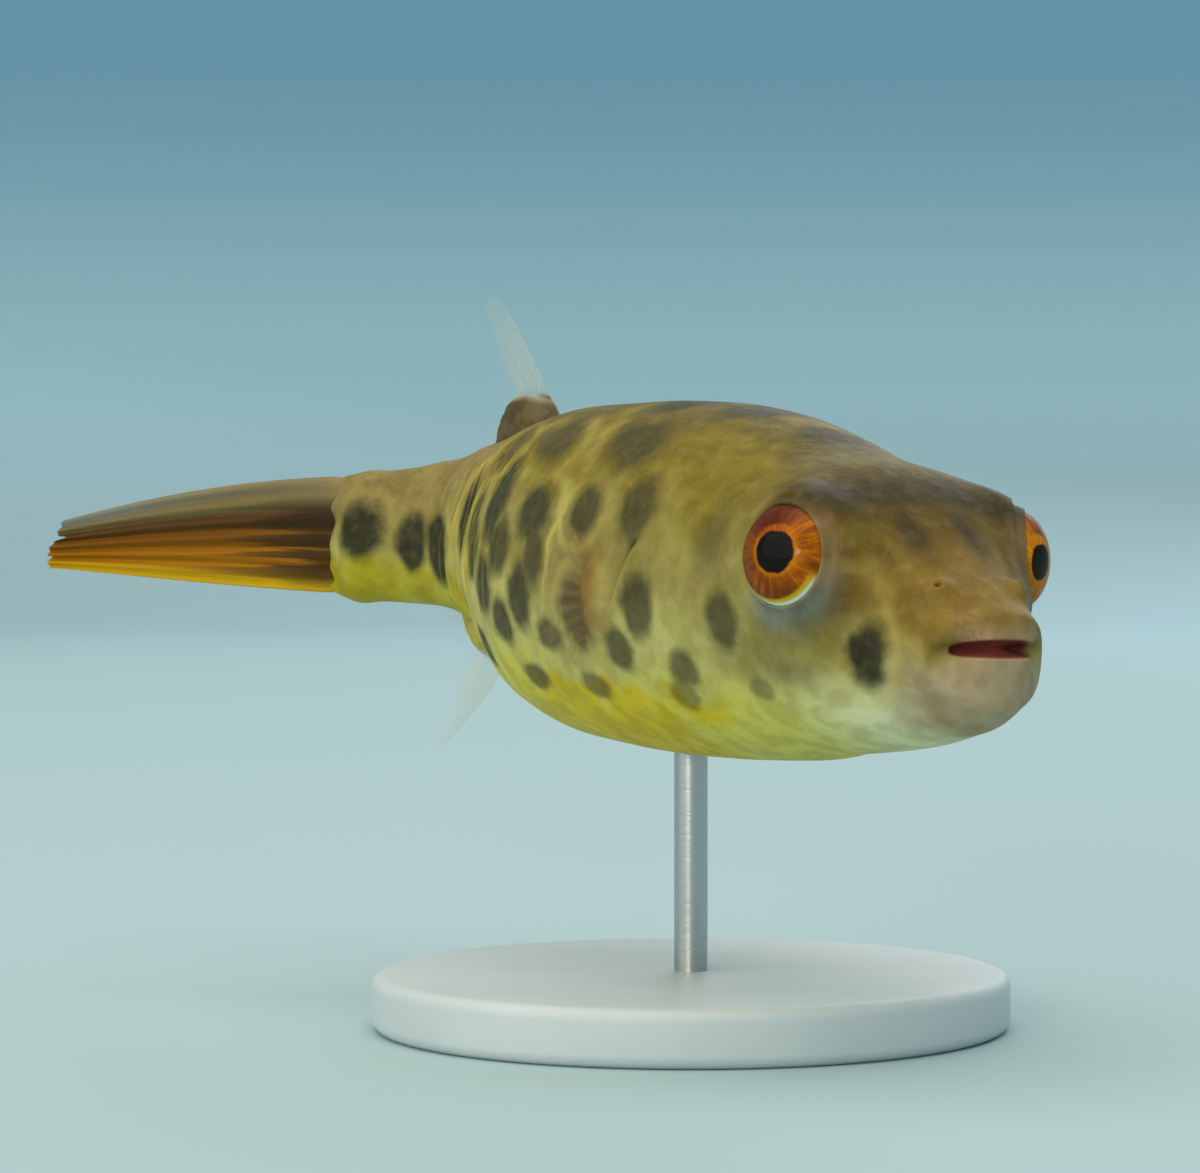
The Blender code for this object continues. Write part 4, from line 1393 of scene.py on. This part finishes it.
def blade(
    name: str,
    form: BodyForm,
    middle: Array,
    thickness: Array,
    fields: dict[str, Array],
    material: Material,
) -> Piece:
    """A closed fin: its middle surface moved half its thickness to the fish's left and right.

    Args:
        name: The piece's name.
        form: The body, which carries the fin to the frame.
        middle: The middle surface in body coordinates, rows from root to tip, columns from edge to edge.
        thickness: The thickness at each point, in millimetres.
        fields: Values at the middle surface's points, by name.
        material: What it is made of.

    Returns:
        The fin.
    """
    half = thickness[..., None] / 2 * np.array([0.0, 1.0, 0.0])
    rings = np.concatenate([middle + half, (middle - half)[:, ::-1]], axis=1)
    both = {}
    for key, value in fields.items():
        value = np.broadcast_to(value, middle.shape[:2])
        both[key] = np.concatenate([value, value[:, ::-1]], axis=1)
    return Surface(name, material, (Cap.ZIP, Cap.ZIP)).loft(form.to_frame(rings), both)


def crown_of(v: Array) -> Array:
    """A half circle over -1 to 1: how thick a fleshy root is from edge to edge."""
    return np.sqrt(np.clip(1.0 - v**2, 0.0, 1.0))


def ragged_end(v: Array, u: Array, rays: int, depth: float) -> Array:
    """A ray's length as a share: 1 on a ray and less by the depth between two, near the fin's end."""
    between = 1.0 - np.abs(np.cos(math.pi * rays * v))
    return 1.0 - depth * between * smoothstep(u, 0.6, 1.0)


def ray_ridges(v: Array, u: Array, count: int, fork: float) -> Array:
    """How much of a ray there is at a point: 1 on its ridge and 0 in the web between two.

    The ridges are a power of the cosine of the count times v; past the fork, each splits into two.
    """
    one = np.abs(np.cos(math.pi * count * v)) ** 3
    two = np.abs(np.cos(math.pi * (2 * count * v - 0.5))) ** 3
    split = smoothstep(u, fork, fork + 0.25)
    return one * (1.0 - split) + 0.8 * two * split


@dataclass(frozen=True)
class FinMembrane:
    """A thin clear fin membrane on bony rays, out of a fleshy skin-covered root.

    It gives a nearly see-through web, rays a little denser and paler, and a solid root of skin colour.
    """

    name: str
    flesh: str
    flesh_dark: str
    ray: str = "#c9c2a6"
    web: str = "#b9bfae"
    web_alpha: float = 0.13
    ray_alpha: float = 0.26

    def build(self) -> Material:
        """Makes the material."""
        s = Shading(self.name)
        ray, solid = s.field("ray"), s.field("flesh")
        s.colour = s.mixed(s.times(s.rise(s.noise(0.8, 3.0), 0.4, 0.65), 0.6), self.flesh, self.flesh_dark)
        s.lay(s.field("shade"), self.flesh_dark)
        s.colour = s.mixed(solid, s.mixed(ray, self.web, self.ray), s.colour)
        thin = s.maths("MULTIPLY_ADD", ray, self.ray_alpha - self.web_alpha, self.web_alpha)
        thin = s.times(thin, s.rise(s.field("along"), 1.25, 0.5))
        return s.finished(
            {
                "Alpha": s.maths("MAXIMUM", thin, s.rise(solid, 0.05, 0.75)),
                "Roughness": 0.42,
                "Specular IOR Level": 0.3,
                "Normal": s.bumps(s.noise(0.25, 3.0), 0.03),
                **under_skin(0.1, (1.0, 0.7, 0.4), 0.5),
            }
        )


@dataclass
class MiddleFin:
    """A fin on the fish's middle plane: a fleshy lobe with a half-folded fan of rays swept back from it."""

    form: BodyForm
    node: str
    up: int
    root: tuple[float, float]
    lean: float
    flesh_mm: float
    finish: FinMembrane
    spread: float = 66.0
    gather: float = 16.0
    curve: float = 6.0
    long_mm: float = 9.0
    short_mm: float = 3.0
    fold: tuple[float, float] = (0.34, 0.58)
    sink: float = 1.3
    web_mm: float = 0.10
    ray_mm: float = 0.20
    rays: int = 9
    lobe_mm: float = 2.3
    slant_mm: float = 0.8
    ragged: float = 0.035
    fork: float = 0.6
    wave_mm: float = 0.18
    gap: tuple[float, float] = (0.38, 0.60)
    rows: int = 70
    columns: int = 145

    def edge_height(self, back: float) -> float:
        """The height of the fish's back or belly line."""
        ring = self.form.section_at(self.form.place_at_back(np.asarray(back)))
        return float(ring.middle + (ring.rise if self.up > 0 else -ring.drop))

    def build(self) -> Piece:
        """Makes the fin: straight rays that turn evenly over the root, of lengths on a smooth curve."""
        u = np.linspace(0.0, 1.0, self.rows)[:, None]
        v = np.linspace(0.0, 1.0, self.columns)
        start, end = (self.edge_height(back) - self.up * self.sink for back in self.root)
        shorter = (self.long_mm - self.short_mm) * smoothstep(v, *self.fold)
        length = self.long_mm - self.slant_mm * v - shorter + self.sink
        fan = self.spread * smoothstep(v, self.fold[0], 1.15) - self.gather * np.minimum(v, self.fold[0])
        angle = np.radians(self.lean + self.up * (fan + self.curve * u))
        reach = u * length * ragged_end(v, u, self.rays, self.ragged)
        back = self.root[0] + (self.root[1] - self.root[0]) * v + reach * np.sin(angle)
        height = start + (end - start) * v + reach * np.cos(angle)
        ridge = ray_ridges(v, u, self.rays, self.fork)
        wave = self.wave_mm * np.sin(2 * math.pi * (1.3 * v + 0.4 * u)) * smoothstep(u, 0.3, 1.0)
        middle = np.stack([back, wave, height], axis=-1)
        crown = crown_of(2.0 * v - 1.0)
        lobe = self.lobe_mm * (0.55 + 0.45 * np.sin(math.pi * np.clip(v + 0.12, 0.0, 1.0)))
        fleshy = 1.0 - smoothstep(u - (self.sink + lobe) / length, -0.08, 0.03)
        thin = self.web_mm + self.ray_mm * ridge * (1.0 - 0.6 * u) * (1.0 - fleshy)
        thin = thin * (0.3 + 0.7 * smoothstep(crown, 0.0, 0.35))
        thickness = thin + self.flesh_mm * np.sqrt(fleshy) * crown
        gap = smoothstep(v, *self.gap)
        fields = {
            "along": np.maximum(u, 0.85 * gap),
            "ray": ridge * (1.0 - 0.3 * gap),
            "flesh": fleshy,
            "shade": smoothstep(v, 0.45, 1.0) * smoothstep(u, 0.5, 0.1),
        }
        return blade(f"{self.node}_web", self.form, middle, thickness, fields, self.finish.build())


@dataclass
class SideFin:
    """A pectoral fin: a small fan on a short fleshy pad, standing a little off the flank."""

    form: BodyForm
    side: Side
    finish: FinMembrane
    back: float = 24.2
    top: float = 2.4
    root_height: float = 3.0
    rise: float = 56.0
    spread: float = 108.0
    lengths: tuple[float, float, float] = (3.1, 4.4, 3.8)
    flesh_mm: float = 1.0
    rays: int = 8
    rows: int = 60
    columns: int = 129
    sunk: float = 1.0
    lean_out: float = 0.10
    stand_off: float = 1.35
    ragged: float = 0.04
    fork: float = 0.55
    wave_mm: float = 0.12
    flesh_share: float = 0.32
    web_mm: float = 0.09
    ray_mm: float = 0.17

    def build(self) -> Piece:
        """Makes the fin: rays that fan out down the root line and bow gently away from the flank."""
        u = np.linspace(0.0, 1.0, self.rows)[:, None]
        v = np.linspace(0.0, 1.0, self.columns)
        root_back = self.back + 0.6 * (v - 0.5) ** 2
        root_height = self.top - self.root_height * v
        angle = np.radians(self.rise - self.spread * v)
        length = monotone_curve(np.array([0.0, 0.45, 1.0]), np.array(self.lengths), v)
        reach = u * length * ragged_end(v, u, self.rays, self.ragged)
        back = root_back + reach * np.cos(angle)
        height = root_height + reach * np.sin(angle)
        ring = self.form.section_at(self.form.place_at_back(np.asarray(self.back)))
        off_middle = (root_height - ring.middle) / ring.rise
        flank = ring.side * np.sqrt(np.maximum(1.0 - off_middle**2, 0.0))
        out = flank - self.sunk + reach * self.lean_out + self.stand_off * smoothstep(u, 0.0, 0.3)
        wave = self.wave_mm * np.sin(2 * math.pi * (1.6 * v + 0.2 * u)) * smoothstep(u, 0.3, 1.0)
        middle = np.stack([back, self.side.value * (out + wave), height], axis=-1)
        ridge = ray_ridges(v, u, self.rays, self.fork)
        crown = crown_of(2.0 * v - 1.0)
        fleshy = self.flesh_share * (1.0 - smoothstep(u, 0.10, 0.65)) * smoothstep(crown, 0.1, 1.0)
        thin = self.web_mm + self.ray_mm * ridge * (1.0 - 0.6 * u)
        thin = thin * (0.3 + 0.7 * smoothstep(crown, 0.0, 0.35))
        thickness = thin + self.flesh_mm * fleshy * crown
        shade = smoothstep(v, 0.35, 0.8) * smoothstep(u, 0.45, 0.2)
        fields = {"along": u, "ray": ridge, "flesh": fleshy, "shade": shade}
        name = f"pectoral_web_{self.side.word}"
        return blade(name, self.form, middle, thickness, fields, self.finish.build())


@dataclass(frozen=True)
class TailMembrane:
    """A folded tail fin: stacked rays and pleats of stained membrane, wet-looking and partly see-through.

    It gives clear grey at the upper edge, purple-brown below it, then orange and yellow, with dark streaks
    that run out from the root.
    """

    name: str = "tail_membrane"
    clear: str = "#8c7a4e"
    grey: str = "#7a6a42"
    purple: str = "#523614"
    amber: str = "#784a00"
    orange: str = "#9c6400"
    yellow: str = "#c49c00"
    streak: str = "#2c1e04"
    line: str = "#8a7a52"

    def build(self) -> Material:
        """Makes the material."""
        s = Shading(self.name)
        along, level = s.field("along"), s.field("level")
        grain = s.drawn_noise(5.0, X=(along, 1.1), Y=(level, 5.5))
        fine = s.drawn_noise(3.0, X=(along, 3.0), Y=(level, 34.0))
        shifted = s.plus(level, s.swing(grain, 0.30))
        s.colour = s.mixed(s.rise(shifted, 0.95, 0.60), self.clear, self.grey)
        s.lay(s.rise(shifted, 0.52, 0.34), self.purple)
        s.lay(s.rise(shifted, 0.22, 0.02), self.amber)
        s.lay(s.rise(shifted, -0.05, -0.40), self.orange)
        s.lay(s.rise(shifted, -0.55, -0.85), self.yellow)
        rooted = s.plus(grain, s.rise(along, 0.45, 0.0, 0.16))
        streaks = s.times(s.rise(rooted, 0.50, 0.62), s.rise(along, 0.75, 0.05))
        streaks = s.times(streaks, s.rise(level, 0.75, 0.35))
        streaks = s.times(streaks, s.rise(level, -1.0, -0.7))
        s.lay(s.times(streaks, 0.9), self.streak)
        s.lay(s.times(s.rise(fine, 0.50, 0.70), 0.12), s.tinted(self.line))
        clear = s.times(s.rise(level, 0.45, 0.8), s.rise(along, 0.2, 1.0, 0.28))
        clear = s.plus(s.rise(level, 0.55, 0.90, 0.22), clear)
        solid = s.maths("MAXIMUM", s.maths("SUBTRACT", 0.98, clear), s.rise(along, 0.12, 0.02))
        return s.finished(
            {
                "Alpha": s.maths("MAXIMUM", solid, s.times(s.field("ray"), 0.75)),
                "Roughness": 0.50,
                "Specular IOR Level": 0.14,
                "Normal": s.bumps(fine, 0.03),
                **under_skin(0.15, (1.0, 0.7, 0.2), 0.5),
            }
        )


@dataclass
class TailFin:
    """The tail fin, nearly folded: a long narrow pleated blade with a ragged end."""

    form: BodyForm
    finish: TailMembrane
    start: float = 59.6
    end: float = 80.3
    root_back: float = 60.8
    half_height: float = 3.2
    flare: float = 0.25
    taper: float = 2.05
    pleats: int = 6
    flesh_mm: float = 1.5
    web_mm: float = 0.22
    ray_mm: float = 0.08
    pleat_mm: tuple[float, float] = (0.04, 0.09)
    wave_mm: float = 0.12
    rows: int = 110
    columns: int = 181

    def build(self) -> Piece:
        """Makes the fin: its half-height shrinks along it, and its pleats swing from side to side."""
        u = np.linspace(0.0, 1.0, self.rows)[:, None]
        v = np.linspace(1.0, -1.0, self.columns)
        notch = 0.9 * bell(v, 0.28, 0.07) + 0.35 * bell(v, -0.5, 0.06) - 0.9 * smoothstep(v, 0.4, -1.0)
        length = self.end - 0.5 * v**2 - self.start - notch * 0.9
        back = self.start + u * length
        share = np.clip((back - self.root_back) / (self.end - self.root_back), 0.0, 1.0)
        root = self.half_height + self.flare * smoothstep(back, self.start, self.root_back + 0.8)
        half = root - self.taper * share**1.2 + 0.2 * np.sin(math.pi * share)
        ring = self.form.section_at(np.asarray(len(self.form.sections) - 1.0))
        height = ring.middle - 0.2 * share + half * v
        ridge = np.abs(np.cos(math.pi * self.pleats * v / 2)) ** 4
        shallow, deeper = self.pleat_mm
        folds = np.sin(math.pi * self.pleats * v) * (shallow + deeper * smoothstep(share, 0.0, 0.5))
        folds = folds + self.wave_mm * np.sin(2 * math.pi * (0.7 * v + 0.8 * share)) * share
        crown = crown_of(v)
        middle = np.stack([back, folds * smoothstep(crown, 0.0, 0.4), height], axis=-1)
        thin = self.web_mm + self.ray_mm * ridge * (1.0 - 0.6 * share)
        thin = thin * (0.25 + 0.75 * smoothstep(crown, 0.0, 0.3))
        thickness = thin + self.flesh_mm * (1.0 - smoothstep(share, 0.0, 0.22)) * crown
        fields = {"along": share, "level": v, "ray": ridge}
        return blade("tail_web", self.form, middle, thickness, fields, self.finish.build())


# ---- The stand ----


@dataclass(frozen=True)
class PowderCoat:
    """Powder-coated steel: a pale matt paint with the faint orange peel that baking leaves.

    It gives an even soft grey that takes light without glare, and a barely pitted surface up close.
    """

    name: str = "pale_powder_coat"
    colour: str = "#c3cdd0"
    peel_mm: float = 0.55
    cloud_mm: float = 9.0
    sheen: str = "#eef1f0"

    def build(self) -> Material:
        """Makes the material."""
        s = Shading(self.name)
        s.colour = self.colour
        s.lay(s.rise(s.noise(self.cloud_mm), 0.35, 0.65, 0.35), s.tinted(self.sheen))
        rough = s.plus(s.times(s.noise(1.2, 3.0), 0.16), 0.40)
        return s.finished({"Roughness": rough, "Normal": s.bumps(s.noise(self.peel_mm), 0.02)})


@dataclass(frozen=True)
class DrawnSteel:
    """Drawn stainless steel rod, rubbed round with fine paper.

    It gives a soft vertical highlight broken by hair-fine rings.
    """

    name: str = "drawn_steel"
    colour: str = "#b9bcbd"
    scratch_mm: float = 0.12

    def build(self) -> Material:
        """Makes the material."""
        s = Shading(self.name)
        s.colour = linear(self.colour)
        flat = add(s.tree, "ShaderNodeMapping", {"Vector": s.place, "Scale": (0.12, 0.12, 1.0)}).outputs[0]
        rings = s.noise(self.scratch_mm, 3.0, flat)
        rough = s.plus(s.times(rings, 0.22), 0.20)
        return s.finished({"Metallic": 1.0, "Roughness": rough, "Normal": s.bumps(rings, 0.006)})


@dataclass
class Stand:
    """The display stand: a round base and one rod, of the sizes that the frame gives."""

    edge_mm: float = 0.7
    sides: int = 192
    corner_rings: int = 9
    flat_rings: tuple[float, float, int] = (0.02, 0.96, 12)
    rod_sides: int = 64
    rod_rings: int = 40
    tip_rings: int = 7
    tip_share: float = 1 / 3

    def base(self) -> Piece:
        """Makes the base: a disc whose two edges are quarter circles."""
        low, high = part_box("stand_base")
        radius, edge = (high.x - low.x) / 2, self.edge_mm * MM
        turn = np.linspace(0.0, math.pi / 2, self.corner_rings)
        out, up = radius - edge + edge * np.sin(turn), edge - edge * np.cos(turn)
        inner = np.linspace(*self.flat_rings) * (radius - edge)
        lower = [[inner, np.full_like(inner, low.z)], [out, low.z + up]]
        upper = [[out[::-1], (high.z - up)[::-1]], [inner[::-1], np.full_like(inner, high.z)]]
        profile = np.concatenate([np.stack(part, axis=-1) for part in lower + upper])
        surface = Surface("stand_disc", PowderCoat().build())
        return surface.turned(profile, ((low.x + high.x) / 2, (low.y + high.y) / 2), self.sides)

    def rod(self) -> Piece:
        """Makes the rod: a cylinder with a small rounded tip inside the belly."""
        low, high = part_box("stand_rod")
        radius = (high.x - low.x) / 2
        tip_height = radius * self.tip_share
        tip = np.linspace(0.0, math.pi / 2, self.tip_rings)
        rounded = np.stack([radius * np.cos(tip), high.z - tip_height + tip_height * np.sin(tip)], axis=-1)
        rounded[-1, 0] = radius * 0.05
        straight = np.linspace(low.z, high.z - tip_height, self.rod_rings)[:-1]
        shaft = np.stack([np.full_like(straight, radius), straight], axis=-1)
        start = np.array([[radius * 0.05, low.z], [radius * 0.7, low.z]])
        profile = np.concatenate([start, shaft, rounded])
        surface = Surface("stand_pin", DrawnSteel().build())
        return surface.turned(profile, ((low.x + high.x) / 2, (low.y + high.y) / 2), self.rod_sides)


# ---- The studio ----


@dataclass(frozen=True)
class BackdropPaper:
    """Pale matt backdrop paper, bluer and darker with its height, which takes soft shadows."""

    name: str = "backdrop_paper"
    low: str = "#aac3c8"
    middle: str = "#aacfda"
    high: str = "#79a8c0"

    def build(self) -> Material:
        """Makes the material."""
        s = Shading(self.name)
        level = add(s.tree, "ShaderNodeSeparateXYZ", {"Vector": s.place}).outputs["Z"]
        s.colour = s.mixed(s.rise(level, 0.0, 0.09), self.low, self.middle)
        s.lay(s.rise(level, 0.06, 0.24), self.high)
        return s.finished({"Roughness": 0.9, "Specular IOR Level": 0.1})


@dataclass
class Studio:
    """A round sweep of pale paper, soft lights above and beside it, and the camera."""

    floor_radius: float = 0.9
    sweep_radius: float = 0.6
    wall_height: float = 0.7
    azimuth: float = 59.8
    elevation: float = 1.0
    distance: float = 0.200
    aim_height: float = 0.0225
    lens: float = 112.56
    sensor: float = 36.0
    shift: tuple[float, float] = (-0.0758, 0.0155)

    def sweep(self) -> Piece:
        """Makes the floor and wall: a flat disc, a quarter circle up and an upright wall, turned round."""
        turn = np.linspace(0.0, math.pi / 2, 25)[1:]
        flat = np.linspace(0.0, 1.0, 20)[1:] * self.floor_radius
        wall = self.floor_radius + self.sweep_radius
        radius = np.concatenate([flat, self.floor_radius + self.sweep_radius * np.sin(turn), [wall]])
        height = self.sweep_radius * (1 - np.cos(turn))
        height = np.concatenate([np.zeros_like(flat), height, [self.wall_height]])
        profile = np.stack([radius, height], axis=-1)
        surface = Surface("backdrop", BackdropPaper().build(), (Cap.POLE, Cap.OPEN))
        return surface.turned(profile, (0.0, 0.0), 128)

    @staticmethod
    def softbox(name: str, place: tuple[float, float, float], size: float, watts: float, colour: str) -> None:
        """A round area light that faces the fish."""
        light = bpy.data.lights.new(name, "AREA")
        light.shape = "DISK"
        light.size = size
        light.energy = watts
        light.color = linear(colour)[:3]
        lamp = bpy.data.objects.new(name, light)
        bpy.context.scene.collection.objects.link(lamp)
        lamp.location = place
        towards = np.array([0.0, 0.0, 0.02]) - np.array(place)
        lamp.rotation_euler = Vector(towards).to_track_quat("-Z", "Y").to_euler()

    def lights(self) -> None:
        """Sets soft lights above, before the face, low beside it and behind, and an even pale sky."""
        self.softbox("light_above", (0.10, -0.10, 1.10), 1.5, 9.0, "#fff4e0")
        self.softbox("light_front", (0.62, -0.70, 0.22), 0.22, 2.4, "#fff0dc")
        self.softbox("light_low", (0.10, -1.10, 0.25), 1.5, 7.0, "#fff0dc")
        self.softbox("light_behind", (-0.60, 0.70, 0.45), 0.7, 2.0, "#eef6ff")
        world = bpy.data.worlds.new("studio_air")
        world.use_nodes = True
        background = world.node_tree.nodes["Background"]
        background.inputs["Color"].default_value = linear("#d6dfe0")
        background.inputs["Strength"].default_value = 0.70
        bpy.context.scene.world = world
        bpy.context.scene.view_settings.view_transform = "Standard"

    def camera(self) -> None:
        """Sets the camera: it looks at a point over the stand's middle from its azimuth and elevation."""
        turn, rise = math.radians(self.azimuth), math.radians(self.elevation)
        back = np.array([math.sin(turn) * math.cos(rise), -math.cos(turn) * math.cos(rise), math.sin(rise)])
        camera = bpy.data.cameras.new("camera")
        camera.lens = self.lens
        camera.sensor_width = self.sensor
        camera.sensor_fit = "HORIZONTAL"
        camera.shift_x, camera.shift_y = self.shift
        camera.clip_start = 0.005
        camera.clip_end = 20.0
        holder = bpy.data.objects.new("camera", camera)
        bpy.context.scene.collection.objects.link(holder)
        holder.location = back * self.distance + np.array([0.0, 0.0, self.aim_height])
        holder.rotation_euler = Vector(back).to_track_quat("Z", "Y").to_euler()
        bpy.context.scene.camera = holder


# ---- Putting it together ----


def set_piece(piece: Piece, slot: str, *nodes: str) -> None:
    """Rides a piece on the frame, hides the frame's nodes that it stands for and logs which they are."""
    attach(piece, BODY)
    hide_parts(*nodes)
    LOG.info("%s stands for %s", piece.name, ", ".join(nodes))


def main() -> None:
    """Builds the fish, its stand and the studio round the frame."""
    logging.basicConfig(level=logging.INFO, format="%(name)s: %(message)s")
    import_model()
    form = BodyForm()
    right = EyeSeat(Side.RIGHT, back=9.45, forward=17.0)
    left = EyeSeat(Side.LEFT, out=6.65, forward=34.0)
    set_piece(Skin(form, (right, left)).build(), "skin_olive", "head", "lower_jaw", "trunk", "tail_stem")

    lit_side = EyeGloss(
        "eye_left",
        pupil="#191608",
        pupil_mm=0.88,
        orange="#e09000",
        ember="#b06a00",
        glow="#eaa200",
        shade="#a05800",
        maroon="#5c1800",
        maroon_from=0.66,
    )
    for eye in (
        Eyeball(form, right, 11.0, 4.0, EyeGloss("eye_right")),
        Eyeball(form, left, 43.0, 2.0, lit_side, iris_mm=2.42, iris_off=(0.05, 0.05)),
    ):
        set_piece(eye.build(), "eye_orange", f"eye_{eye.seat.side.word}")

    lobe = FinMembrane("dorsal_membrane", "#64562c", "#38290e", web_alpha=0.15, ray_alpha=0.22)
    fin = MiddleFin(form, "dorsal_fin", 1, (44.8, 48.0), 33.0, 2.1, lobe, spread=54.0, gather=4.0)
    set_piece(fin.build(), "fin_clear", "dorsal_fin")
    lobe = FinMembrane("anal_membrane", "#a8a04a", "#847c30", ray="#d4d3b8")
    fin = MiddleFin(form, "anal_fin", -1, (47.2, 50.4), 148.0, 1.7, lobe, long_mm=8.4, lobe_mm=1.6)
    set_piece(fin.build(), "fin_clear", "anal_fin")
    for side in Side:
        name = f"pectoral_membrane_{side.word}"
        pad = FinMembrane(name, "#7e6428", "#704c1a", "#a08c54", "#8a6e3a", web_alpha=0.12, ray_alpha=0.20)
        set_piece(SideFin(form, side, pad).build(), "fin_clear", f"pectoral_fin_{side.word}")
    set_piece(TailFin(form, TailMembrane()).build(), "fin_amber", "caudal_fin")

    stand = Stand()
    set_piece(stand.base(), "base_grey", "stand_base")
    set_piece(stand.rod(), "rod_steel", "stand_rod")

    studio = Studio()
    studio.sweep()
    studio.lights()
    studio.camera()


if __name__ == "__main__":
    main()
